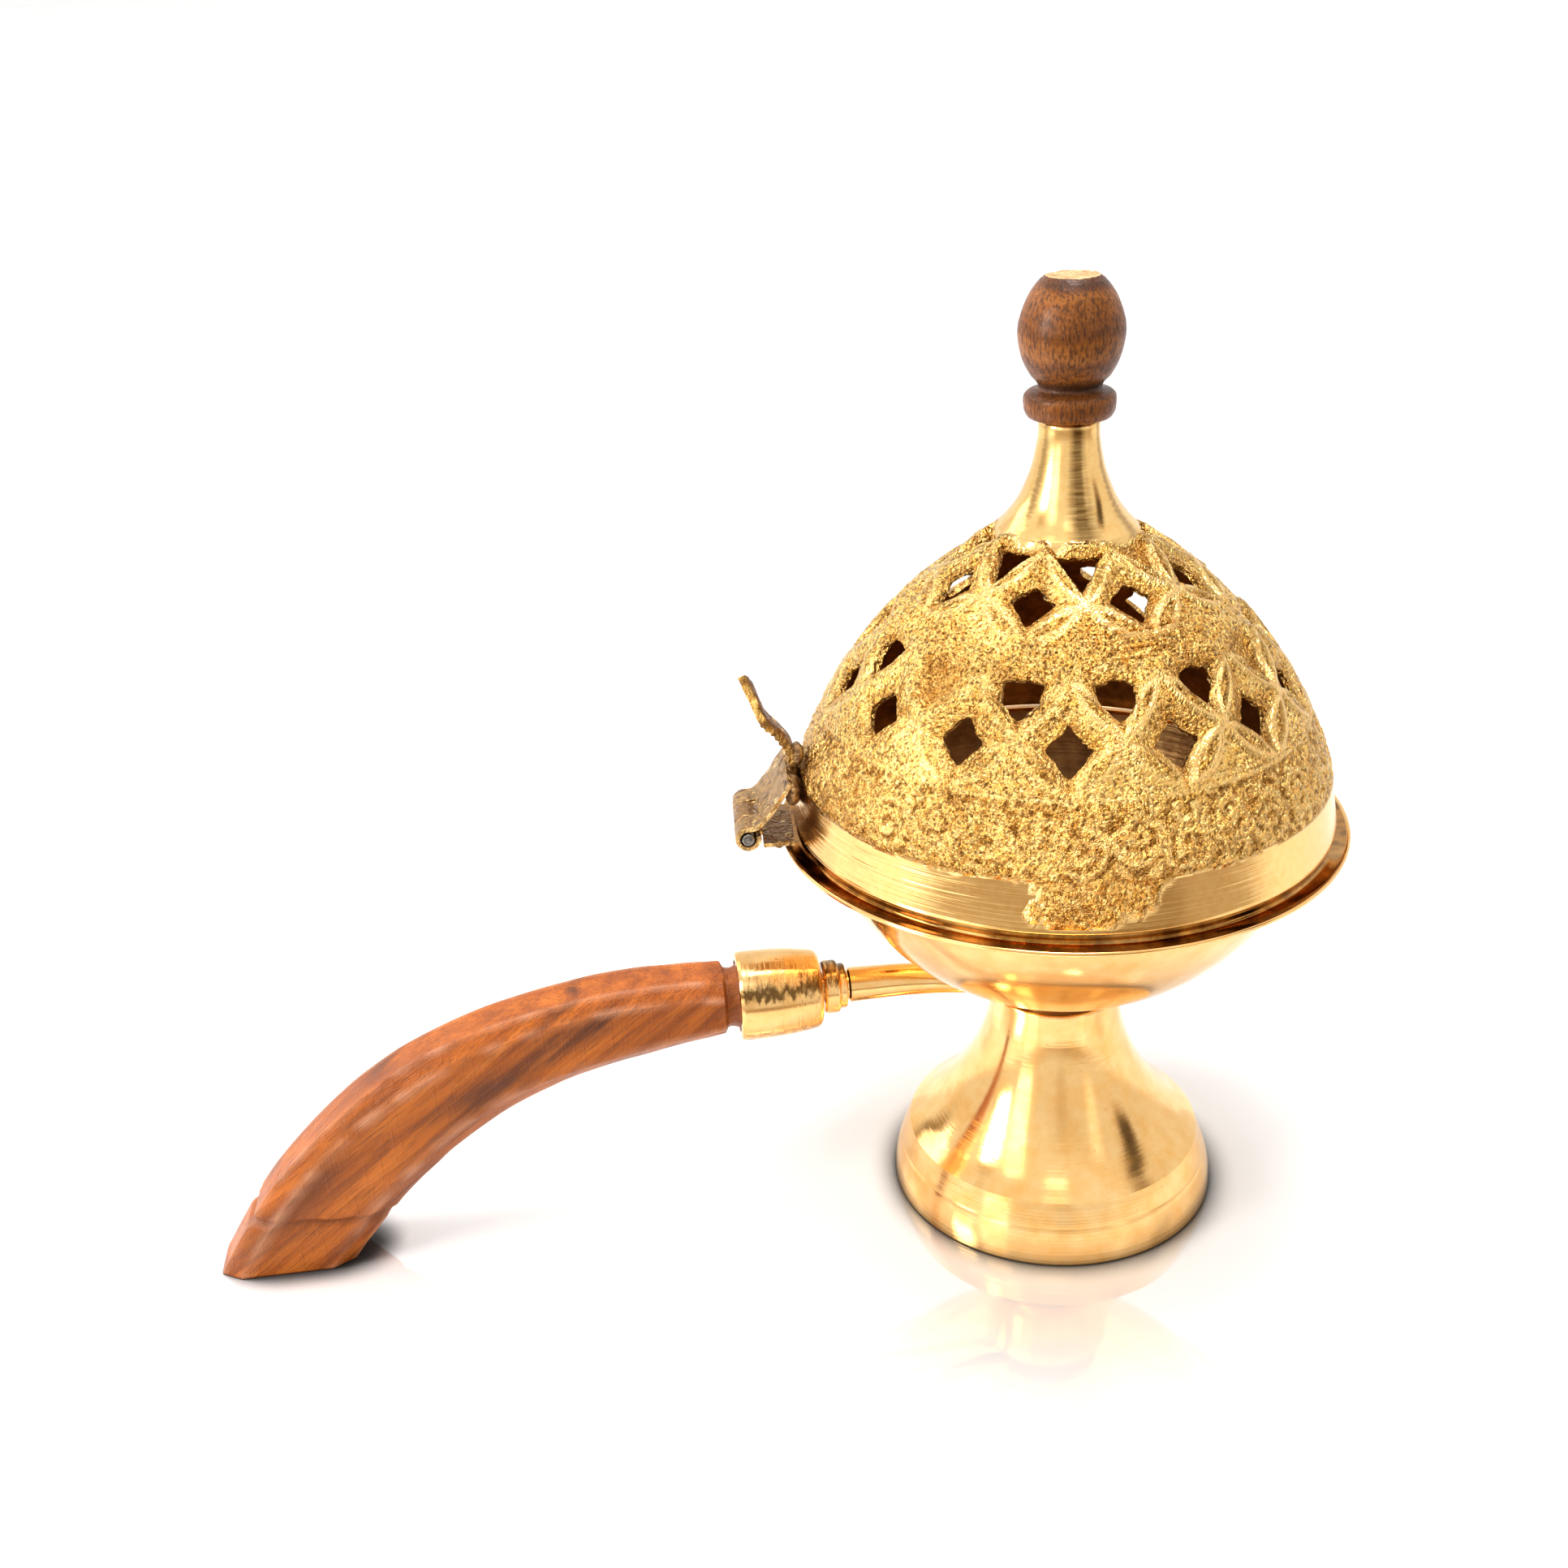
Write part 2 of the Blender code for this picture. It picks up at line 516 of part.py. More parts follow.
pin = across(cylinder("hinge_pin", PIN_R, -8.6, 8.6, SEG_SMALL, steel), PIN_U, PIN_Z)
lever_path = spline([(47.6, 90.8), (47.75, 92.6), (48.5, 94.6), (50.0, 96.6), (51.9, 98.7), (53.0, 100.9),
                     (53.7, 103.2), (54.6, 105.6), (55.6, 108.2)], 2)
lever = plate("thumb_lever", strip_outline(lever_path, LEVER_T), LEVER_W, bronze)
tip_cut = block("lever_tip_cutter", 50.0, 62.0, -8.0, 4.0, 0.0, 8.0)
tip_cut.data.transform(Matrix.Translation((mm(-55.6), 0, 0)))
tip_cut.data.transform(Matrix.Rotation(math.radians(32), 4, 'X'))
tip_cut.data.transform(Matrix.Translation((mm(55.6), mm(0.0), mm(106.4))))
boolean(lever, tip_cut)


def bead(name, u, z, r, half, sy, mat):
    """A run of braze lying along the hinge line: a stretched ball."""
    me = bpy.data.meshes.new(name)
    bm = bmesh.new()
    bmesh.ops.create_uvsphere(bm, u_segments=12, v_segments=8, radius=1.0)
    bmesh.ops.scale(bm, vec=(mm(r), mm(r), mm(half)), verts=bm.verts)
    bm.to_mesh(me)
    bm.free()
    return across(add(name, me, mat), u, z)


braze = material("braze", (0.20, 0.11, 0.05), 0.6, 0.8)
lid_braze = bead("lid_leaf_braze", 47.55, 87.1, 0.8, 7.0, 1, braze)
lever_braze = bead("lever_braze", 45.95, 92.6, 0.7, 3.2, 1, braze)
bowl_braze = bead("bowl_leaf_braze", 50.95, 76.85, 0.55, 6.5, 1, braze)

hinge_turn = Matrix.Translation((mm(AXIS_X), 0, 0)) @ Matrix.Rotation(math.radians(HINGE_AZ), 4, 'Z')
for ob in (lid_leaf, bowl_leaf, pin, lever, lid_braze, lever_braze, bowl_braze):
    if ob.modifiers:
        finish(ob, 30)
    else:
        smooth(ob.data, 30)
    ob.matrix_world = hinge_turn

for ob in (foot, bowl, centre_washer, centre_screw, nut, rod, collar, ferrule, handle, lid, knob, knob_screw):
    ob.location = (mm(AXIS_X), 0.0, 0.0)

# ================================================================ the lid turns on the pin's axis
axis_empty = bpy.data.objects.new("lid_hinge_axis", None)
axis_empty.empty_display_size = 0.01
PARTS.objects.link(axis_empty)
axis_empty.matrix_world = hinge_turn @ Matrix.Translation((mm(PIN_U), 0, mm(PIN_Z)))
bpy.context.view_layer.update()
for ob in (lid, knob, knob_screw, lid_leaf, lever, lid_braze, lever_braze):
    world = ob.matrix_world.copy()
    ob.parent = axis_empty
    ob.matrix_parent_inverse = axis_empty.matrix_world.inverted()
    ob.matrix_basis = world
for c in CUTTERS.objects:
    c.hide_render = True
    c.display_type = 'WIRE'
bpy.context.view_layer.update()
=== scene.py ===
import bpy
import bmesh
import math
import numpy as np
from mathutils import Matrix, Vector

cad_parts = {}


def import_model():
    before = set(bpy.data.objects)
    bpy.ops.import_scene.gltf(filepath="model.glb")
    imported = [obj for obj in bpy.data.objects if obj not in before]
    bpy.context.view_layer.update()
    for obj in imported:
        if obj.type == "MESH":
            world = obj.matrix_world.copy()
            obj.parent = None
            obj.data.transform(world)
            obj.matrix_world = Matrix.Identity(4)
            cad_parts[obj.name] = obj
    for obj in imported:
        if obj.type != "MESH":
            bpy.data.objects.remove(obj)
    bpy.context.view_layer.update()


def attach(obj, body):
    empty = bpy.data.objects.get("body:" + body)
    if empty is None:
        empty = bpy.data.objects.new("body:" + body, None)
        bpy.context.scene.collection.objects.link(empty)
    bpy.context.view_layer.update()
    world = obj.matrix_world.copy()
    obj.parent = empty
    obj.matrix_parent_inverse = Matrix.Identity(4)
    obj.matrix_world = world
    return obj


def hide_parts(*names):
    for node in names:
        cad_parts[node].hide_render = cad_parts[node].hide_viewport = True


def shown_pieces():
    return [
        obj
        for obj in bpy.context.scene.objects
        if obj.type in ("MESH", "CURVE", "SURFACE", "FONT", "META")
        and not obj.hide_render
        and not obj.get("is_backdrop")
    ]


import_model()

# ------------------------------------------------------------------ sizes in mm, as in the CAD
AXIS_X = 54.75
ROD_Z = 45.9
HINGE_AZ = 176.2
PIN_U, PIN_Z = 56.0, 79.85
KNUCKLE_BORE, KNUCKLE_R = 1.4, 2.25
SEAM = 0.02            # how far the visible skin stays inside the CAD's outside, mm

# ------------------------------------------------------------------ seeded noise, vectorised
_rng = np.random.default_rng(20)
_PERM = _rng.permutation(256)
_VALS = _rng.random(256) * 2.0 - 1.0


def vnoise(p, scale, seed=0):
    """Value noise in -1..1 at points p (n, 3) in mm; scale is cells per mm."""
    q = np.asarray(p, float) * scale + np.array([seed * 17.31, seed * 5.77, seed * 11.9])
    i = np.floor(q).astype(np.int64)
    f = q - i
    f = f * f * f * (f * (f * 6 - 15) + 10)
    out = 0.0
    for dx in (0, 1):
        wx = f[..., 0] if dx else 1 - f[..., 0]
        px = _PERM[(i[..., 0] + dx) & 255]
        for dy in (0, 1):
            wy = f[..., 1] if dy else 1 - f[..., 1]
            py = _PERM[(px + i[..., 1] + dy) & 255]
            for dz in (0, 1):
                wz = f[..., 2] if dz else 1 - f[..., 2]
                out = out + wx * wy * wz * _VALS[_PERM[(py + i[..., 2] + dz) & 255]]
    return out


def fbm(p, scale, octaves=3, seed=0):
    out, amp, total = 0.0, 1.0, 0.0
    for k in range(octaves):
        out = out + amp * vnoise(p, scale * 2.03 ** k, seed + k * 3)
        total += amp
        amp *= 0.5
    return out / total


def sstep(x, a, b):
    t = np.clip((np.asarray(x, float) - a) / (b - a), 0, 1)
    return t * t * (3 - 2 * t)


def spline(stations, n):
    """Catmull-Rom through (a, b) stations, n points per span, the same curve as the CAD's."""
    p = [np.array(s, float) for s in stations]
    p = [p[0] * 2 - p[1]] + p + [p[-1] * 2 - p[-2]]
    out = []
    for i in range(1, len(p) - 2):
        for k in range(n):
            t = k / n
            out.append(0.5 * (2 * p[i] + (p[i + 1] - p[i - 1]) * t
                              + (2 * p[i - 1] - 5 * p[i] + 4 * p[i + 1] - p[i + 2]) * t * t
                              + (3 * p[i] - p[i - 1] - 3 * p[i + 1] + p[i + 2]) * t ** 3))
    out.append(p[-2])
    return [tuple(q) for q in out]


def offset_line(points, dist):
    v = [np.array(q, float) for q in points]
    out = []
    for i, q in enumerate(v):
        t = v[min(i + 1, len(v) - 1)] - v[max(i - 1, 0)]
        t = t / np.hypot(*t)
        out.append((q[0] + t[1] * dist, q[1] - t[0] * dist))
    return out


def resample(points, step):
    """Even spacing along an open polyline."""
    p = np.array(points, float)
    d = np.r_[0, np.cumsum(np.hypot(*(p[1:] - p[:-1]).T))]
    n = max(2, int(round(d[-1] / step)) + 1)
    s = np.linspace(0, d[-1], n)
    return np.c_[np.interp(s, d, p[:, 0]), np.interp(s, d, p[:, 1])]


# ------------------------------------------------------------------ node graphs for materials
class Graph:
    def __init__(self, name):
        self.m = bpy.data.materials.new(name)
        self.m.use_nodes = True
        self.t = self.m.node_tree
        self.b = self.t.nodes["Principled BSDF"]
        self.co = self.t.nodes.new("ShaderNodeTexCoord").outputs["Object"]
        sep = self.node("ShaderNodeSeparateXYZ", {"Vector": self.co})
        self.x, self.y, self.z = sep.outputs

    def put(self, sock, v):
        if isinstance(v, bpy.types.NodeSocket):
            self.t.links.new(v, sock)
        else:
            sock.default_value = v

    def node(self, kind, ins=None, **props):
        n = self.t.nodes.new(kind)
        for k, v in props.items():
            setattr(n, k, v)
        for k, v in (ins or {}).items():
            self.put(n.inputs[k], v)
        return n

    def math(self, op, a, b=0.0, clamp=False):
        n = self.node("ShaderNodeMath", operation=op, use_clamp=clamp)
        self.put(n.inputs[0], a)
        self.put(n.inputs[1], b)
        return n.outputs[0]

    def noise(self, scale, detail=3.0, rough=0.5, vec=None, distort=0.0):
        n = self.node("ShaderNodeTexNoise", {"Vector": vec or self.co, "Scale": scale, "Detail": detail,
                                             "Roughness": rough, "Distortion": distort})
        return n.outputs["Fac"]

    def line_noise(self, w, scale, detail=3.0, rough=0.6):
        n = self.node("ShaderNodeTexNoise", noise_dimensions="1D")
        for k, v in {"W": w, "Scale": scale, "Detail": detail, "Roughness": rough}.items():
            self.put(n.inputs[k], v)
        return n.outputs["Fac"]

    def stretch(self, scale, rot=(0, 0, 0), loc=(0, 0, 0), vec=None):
        n = self.node("ShaderNodeMapping", {"Vector": vec or self.co, "Location": loc, "Rotation": rot, "Scale": scale})
        return n.outputs[0]

    def ramp(self, fac, stops, mode="LINEAR"):
        n = self.node("ShaderNodeValToRGB", {"Fac": fac})
        cr = n.color_ramp
        cr.interpolation = mode
        while len(cr.elements) < len(stops):
            cr.elements.new(0.5)
        for e, (pos, col) in zip(cr.elements, stops):
            e.position = pos
            e.color = (*col, 1.0) if len(col) == 3 else col
        return n.outputs["Color"]

    def mix(self, fac, a, b, kind="MIX"):
        n = self.node("ShaderNodeMix", data_type="RGBA", blend_type=kind)
        self.put(n.inputs[0], fac)
        self.put(n.inputs[6], a if isinstance(a, bpy.types.NodeSocket) else (*a, 1.0))
        self.put(n.inputs[7], b if isinstance(b, bpy.types.NodeSocket) else (*b, 1.0))
        return n.outputs[2]

    def span(self, v, a, b, c=0.0, d=1.0):
        n = self.node("ShaderNodeMapRange", {"Value": v, "From Min": a, "From Max": b, "To Min": c, "To Max": d})
        return n.outputs[0]

    def attr(self, name):
        n = self.node("ShaderNodeAttribute", attribute_name=name)
        s = self.node("ShaderNodeSeparateColor", {"Color": n.outputs["Color"]})
        return s.outputs

    def bump(self, height, distance, strength=1.0, normal=None):
        n = self.node("ShaderNodeBump", {"Height": height, "Distance": distance, "Strength": strength})
        if normal is not None:
            self.put(n.inputs["Normal"], normal)
        return n.outputs[0]

    def done(self, base=None, rough=None, metal=None, normal=None, **other):
        for k, v in (("Base Color", base), ("Roughness", rough), ("Metallic", metal), ("Normal", normal)):
            if v is not None:
                self.put(self.b.inputs[k], v)
        for k, v in other.items():
            self.b.inputs[k.replace("_", " ")].default_value = v
        return self.m


BRASS_A, BRASS_B, BRASS_C = (0.97, 0.62, 0.26), (0.92, 0.50, 0.15), (0.45, 0.20, 0.04)


def turned_brass(name, along="z", rough=0.14, ring=900.0, ring_depth=0.00003, tarnish_and_painted_streaks=0.25):
    """Lathe-turned, hand-polished brass: tool rings about the turning axis, haze, fine wipe marks; dark bands along the
    ferrule are painted reflections, and the bowl's lip has painted shade with brown oxide.
    """
    g = Graph(name)
    if along == "z":
        dx = g.math("SUBTRACT", g.x, AXIS_X * 0.001)
        rad = g.math("SQRT", g.math("ADD", g.math("MULTIPLY", dx, dx), g.math("MULTIPLY", g.y, g.y)))
        w = g.math("ADD", g.z, g.math("MULTIPLY", rad, 0.7))
    else:
        w = g.x
    rings = g.line_noise(w, ring, 4.0, 0.65)
    fine = g.line_noise(w, ring * 4.3, 2.0, 0.6)
    patch = g.noise(70.0, 3.0, 0.55)
    haze = g.noise(240.0, 4.0, 0.6)
    spots = g.span(g.noise(900.0, 2.0, 0.5), 0.66, 0.78)
    base = g.mix(g.span(haze, 0.35, 0.7), BRASS_A, BRASS_B)
    base = g.mix(g.math("MULTIPLY", g.span(patch, 0.55, 0.8), tarnish_and_painted_streaks), base, BRASS_C)
    base = g.mix(g.math("MULTIPLY", spots, tarnish_and_painted_streaks * 0.8), base, BRASS_C)
    # Painted reflection: dark bands along the ferrule stand in for dark surroundings mirrored in it. A tarnish amount
    # above 0.8 switches them on.
    if along == "x" and tarnish_and_painted_streaks > 0.8:
        t = g.math("MULTIPLY", g.math("SUBTRACT", g.z, ROD_Z * 0.001), 122.0)
        ragged = g.math("MULTIPLY", g.math("SUBTRACT", g.noise(1.0, 4.0, 0.65, vec=g.stretch((700.0, 120.0, 420.0))), 0.5), 0.9)
        for mid, half, amount in ((0.52, 0.20, 0.9), (-0.55, 0.10, 0.45), (-0.90, 0.14, 0.7)):
            off = g.math("ABSOLUTE", g.math("ADD", g.math("SUBTRACT", t, mid), ragged))
            broken = g.span(g.noise(1.0, 3.0, 0.6, vec=g.stretch((260.0, 60.0, 60.0), loc=(0.0, 0.0, mid))), 0.36, 0.50)
            streak = g.math("MULTIPLY", g.span(off, half, half * 0.3), broken)
            base = g.mix(g.math("MULTIPLY", streak, amount), base, (0.10, 0.045, 0.010))
    # The relief's first channel darkens the brass to brown. On the bowl's lip this is painted shade together with brown
    # oxide; near the hinge it is a heat tint.
    brown = g.attr("relief")[0]
    base = g.mix(brown, base, g.mix(g.span(g.noise(260.0, 3.0, 0.6), 0.35, 0.65), (0.14, 0.055, 0.012), (0.52, 0.24, 0.05)))
    r = g.math("ADD", g.span(haze, 0.3, 0.75, rough * 0.75, rough * 1.35), g.span(patch, 0.5, 0.8, 0.0, 0.06))
    r = g.math("ADD", r, g.math("MULTIPLY", spots, 0.1))
    amount = g.span(g.noise(55.0, 2.0, 0.5), 0.35, 0.68, 0.15, 1.0)
    h = g.math("MULTIPLY", g.math("ADD", rings, g.math("MULTIPLY", fine, 0.35)), amount)
    n1 = g.bump(h, ring_depth)
    wipe = g.noise(1.0, 2.0, 0.5, vec=g.stretch((1800.0, 1800.0, 160.0), rot=(0.3, 0.5, 0.2)))
    n2 = g.bump(wipe, 0.000006, 0.6, n1)
    n3 = g.bump(g.noise(38.0, 1.0, 0.4), 0.0002, 0.35, n2)
    return g.done(base, r, 1.0, n3)


def cast_brass(name):
    """The lid's skin: sandy as cast, with worn bright relief, and turned smooth on its band and neck; dark bands on the
    neck are painted reflections.
    """
    g = Graph(name)
    polish, cavity, lathe = g.attr("relief")
    grain = g.noise(1750.0, 2.0, 0.55)
    worm_a = g.math("ABSOLUTE", g.math("SUBTRACT", g.noise(760.0, 3.0, 0.6, distort=0.5), 0.5))
    worm_b = g.span(g.noise(330.0, 2.0, 0.5), 0.42, 0.54)
    worm = g.math("MULTIPLY", g.span(worm_a, 0.034, 0.006), worm_b)
    lump = g.noise(850.0, 2.0, 0.55)
    broad = g.noise(90.0, 3.0, 0.5)
    dx = g.math("SUBTRACT", g.x, AXIS_X * 0.001)
    rad = g.math("SQRT", g.math("ADD", g.math("MULTIPLY", dx, dx), g.math("MULTIPLY", g.y, g.y)))
    w = g.math("ADD", g.z, g.math("MULTIPLY", rad, -0.5))
    rings = g.line_noise(w, 1500.0, 3.0, 0.6)
    groove = g.line_noise(w, 1500.0, 2.0, 0.5)
    rough_side = g.math("SUBTRACT", 1.0, polish, clamp=True)
    base = g.mix(g.span(lump, 0.35, 0.7), (1.0, 0.68, 0.24), (0.92, 0.50, 0.10))
    pits = g.math("MULTIPLY", g.span(grain, 0.51, 0.35), rough_side)
    base = g.mix(g.math("MULTIPLY", pits, 0.86), base, (0.19, 0.075, 0.010))
    deep = g.math("MULTIPLY", g.math("MULTIPLY", worm, rough_side), g.math("ADD", 0.10, g.math("MULTIPLY", cavity, 0.85)), clamp=True)
    base = g.mix(deep, base, (0.12, 0.045, 0.007))
    base = g.mix(g.math("MULTIPLY", cavity, g.span(broad, 0.3, 0.7, 0.50, 0.88)), base, (0.46, 0.20, 0.028))
    base = g.mix(g.math("MULTIPLY", polish, 0.6), base, BRASS_A)
    # Painted reflection: dark vertical bands on the turned neck stand in for dark surroundings mirrored in it.
    around = g.math("ARCTAN2", g.y, dx)
    painted_reflection_wobble = g.math("MULTIPLY", g.math("SUBTRACT", g.line_noise(g.z, 1400.0, 4.0, 0.7), 0.5), 0.20)
    for mid, half, top, foot, amount in ((-90, 17, 0.1465, 0.1285, 0.95), (-152, 9, 0.1465, 0.1300, 0.55), (-40, 9, 0.1360, 0.1262, 0.55)):
        off = g.math("ABSOLUTE", g.math("ADD", g.math("SUBTRACT", around, math.radians(mid)), painted_reflection_wobble))
        m = g.span(off, math.radians(half), math.radians(half * 0.25))
        m = g.math("MULTIPLY", m, g.span(g.z, foot - 0.002, foot + 0.004))
        m = g.math("MULTIPLY", m, g.math("MULTIPLY", g.span(g.line_noise(g.z, 1900.0, 4.0, 0.7), 0.34, 0.66, 1.0, 0.70), polish))
        base = g.mix(g.math("MULTIPLY", m, amount), base, (0.12, 0.050, 0.008))
    rough = g.math("ADD", g.math("MULTIPLY", rough_side, g.span(grain, 0.3, 0.7, 0.17, 0.28)),
                   g.math("MULTIPLY", polish, g.span(broad, 0.3, 0.7, 0.11, 0.20)))
    sand = g.math("SUBTRACT", g.math("ADD", grain, g.math("MULTIPLY", lump, 0.9)), g.math("MULTIPLY", worm, 0.22))
    calm = g.span(g.noise(75.0, 2.0, 0.5), 0.40, 0.60, 0.35, 1.0)
    calm = g.math("MAXIMUM", calm, cavity)
    n1 = g.bump(g.math("MULTIPLY", g.math("MULTIPLY", sand, rough_side), calm), 0.0012)
    lines = g.math("MULTIPLY", groove, lathe)
    n2 = g.bump(lines, 0.00012, 1.0, n1)
    n3 = g.bump(g.math("MULTIPLY", rings, polish), 0.000011, 1.0, n2)
    return g.done(base, rough, 1.0, n3)


def inner_brass(name):
    """The unpolished inside: brown, turned in coarse rings, with soot in the lows."""
    g = Graph(name)
    rings = g.line_noise(g.z, 900.0, 4.0, 0.65)
    soot = g.noise(140.0, 4.0, 0.6)
    base = g.mix(g.span(soot, 0.35, 0.65), (0.80, 0.44, 0.16), (0.34, 0.16, 0.055))
    rough = g.span(soot, 0.3, 0.7, 0.26, 0.48)
    n = g.bump(rings, 0.00010)
    n = g.bump(g.noise(1500.0, 2.0, 0.5), 0.00006, 0.6, n)
    return g.done(base, rough, 1.0, n)


def old_bronze(name, light=(0.40, 0.21, 0.07), dark=(0.07, 0.032, 0.011), bright=(0.86, 0.56, 0.20), scale=1.0, rough=0.27):
    """Hand-cut, heat-browned hinge metal, with edges rubbed bright."""
    g = Graph(name)
    blotch = g.noise(420.0 * scale, 5.0, 0.62, distort=0.6)
    fine = g.noise(2600.0, 3.0, 0.6)
    base = g.ramp(blotch, [(0.33, dark), (0.46, light), (0.57, (light[0] * 0.55, light[1] * 0.50, light[2] * 0.45)), (0.66, bright), (0.8, light)])
    base = g.mix(g.span(fine, 0.55, 0.75, 0.0, 0.5), base, dark)
    edge = g.attr("relief")[0]
    base = g.mix(edge, base, bright)
    r = g.span(blotch, 0.3, 0.7, rough + 0.16, rough - 0.06)
    n = g.bump(g.noise(620.0, 3.0, 0.55, distort=0.8), 0.0011, 1.0)
    n = g.bump(fine, 0.00014, 0.9, n)
    return g.done(base, r, 0.95, n)


def braze_metal(name):
    g = Graph(name)
    a = g.noise(700.0, 5.0, 0.65, distort=0.8)
    base = g.ramp(a, [(0.3, (0.05, 0.028, 0.012)), (0.5, (0.22, 0.12, 0.05)), (0.68, (0.52, 0.33, 0.14)), (0.85, (0.75, 0.55, 0.3))])
    n = g.bump(a, 0.0005)
    n = g.bump(g.noise(2400.0, 2.0, 0.5), 0.0001, 0.8, n)
    return g.done(base, g.span(a, 0.3, 0.7, 0.55, 0.3), 0.85, n)


def steel(name):
    g = Graph(name)
    a = g.noise(600.0, 4.0, 0.6)
    dx = g.math("SUBTRACT", g.x, AXIS_X * 0.001)
    rings = g.noise(3000.0, 2.0, 0.5)
    base = g.mix(g.span(a, 0.35, 0.7), (0.27, 0.25, 0.22), (0.09, 0.08, 0.065))
    n = g.bump(rings, 0.00004)
    n = g.bump(g.math("ADD", a, dx), 0.00008, 0.7, n)
    return g.done(base, g.span(a, 0.3, 0.7, 0.28, 0.5), 1.0, n)


STREAK = math.radians(30.7)
STREAKS = ((56.0, 2.4, -36, 1, 1.0), (58.6, 1.2, -46, -8, 0.55), (52.6, 1.4, -78, -64, 0.65), (61.4, 0.8, -14, 14, 0.75), (53.2, 1.6, -52, -30, 0.5),
           (63.6, 0.6, 2, 22, 0.6), (50.0, 1.2, -60, -42, 0.4))      # mm across the grain, half width, from, to, strength
GRAIN = math.radians(38)   # the plank's grain rises towards the ferrule at this angle


def handle_wood(name, tint=1.0):
    """Orange-brown hardwood, straight grained across the curve, sanded by hand and thinly oiled."""
    g = Graph(name)
    along = g.stretch((1.0, 1.0, 1.0), rot=(0.0, GRAIN, 0.0))     # x now runs with the grain
    streak = g.noise(1.0, 3.0, 0.55, vec=g.stretch((14.0, 60.0, 105.0), vec=along, loc=(0.30, 0.1, 0.62)), distort=0.5)
    band = g.noise(1.0, 4.0, 0.6, vec=g.stretch((30.0, 190.0, 420.0), vec=along), distort=0.35)
    fibre = g.noise(1.0, 3.0, 0.6, vec=g.stretch((130.0, 2300.0, 2300.0), vec=along))
    pores = g.noise(1.0, 2.0, 0.5, vec=g.stretch((420.0, 4200.0, 4200.0), vec=along))
    base = g.ramp(band, [(0.28, (0.19, 0.042, 0.005)), (0.44, (0.36, 0.084, 0.009)), (0.60, (0.50, 0.128, 0.014)), (0.80, (0.63, 0.19, 0.030))])
    dark = g.span(streak, 0.56, 0.70)
    base = g.mix(g.math("MULTIPLY", dark, 0.85), base, (0.10, 0.030, 0.010))
    base = g.mix(g.span(fibre, 0.50, 0.66, 0.0, 0.60), base, (0.20, 0.055, 0.014))
    base = g.mix(g.span(pores, 0.62, 0.74, 0.0, 0.55), base, (0.10, 0.032, 0.012))
    wobble = g.math("SUBTRACT", g.noise(1.0, 3.0, 0.6, vec=g.stretch((70.0, 70.0, 160.0), vec=along)), 0.5)
    thread = g.span(band, 0.30, 0.66, 1.0, 0.35)
    ct, st = math.cos(STREAK), math.sin(STREAK)
    run = g.math("ADD", g.math("MULTIPLY", g.x, ct), g.math("MULTIPLY", g.z, st))
    over = g.math("SUBTRACT", g.math("MULTIPLY", g.z, ct), g.math("MULTIPLY", g.x, st))
    for c0, half, a0, a1, amount in STREAKS:
        c = g.math("ABSOLUTE", g.math("ADD", g.math("SUBTRACT", over, c0 * 0.001), g.math("MULTIPLY", wobble, half * 0.0034)))
        m = g.math("MULTIPLY", g.span(c, half * 0.0012, half * 0.0003), thread)
        m = g.math("MULTIPLY", m, g.span(run, (a0 - 7) * 0.001, (a0 + 7) * 0.001))
        m = g.math("MULTIPLY", m, g.span(run, (a1 + 3) * 0.001, (a1 - 3) * 0.001))
        base = g.mix(g.math("MULTIPLY", m, amount), base, (0.085, 0.027, 0.011))
    polish, cut, edge = g.attr("relief")
    base = g.mix(g.math("MULTIPLY", cut, 0.55), base, (0.16, 0.050, 0.018))
    # Painted highlight: the chamfer edges are lightened towards a pale pinkish brown.
    base = g.mix(g.math("MULTIPLY", edge, 0.60), base, (0.72, 0.37, 0.22))
    rough = g.math("ADD", g.span(band, 0.3, 0.7, 0.26, 0.36), g.span(fibre, 0.4, 0.7, 0.0, 0.10))
    n = g.bump(fibre, 0.00022, 1.0)
    n = g.bump(pores, 0.00012, 0.8, n)
    scratch = g.noise(1.0, 2.0, 0.5, vec=g.stretch((2600.0, 700.0, 120.0), rot=(0.0, -0.55, 0.25)))
    n = g.bump(g.span(scratch, 0.56, 0.70), 0.00008, 0.8, n)
    n = g.bump(g.noise(160.0, 2.0, 0.5), 0.0003, 0.5, n)
    m = g.done(base, rough, 0.0, n)
    g.b.inputs["Specular IOR Level"].default_value = 0.17
    g.b.inputs["Coat Weight"].default_value = 0.05
    g.b.inputs["Coat Roughness"].default_value = 0.25
    return m


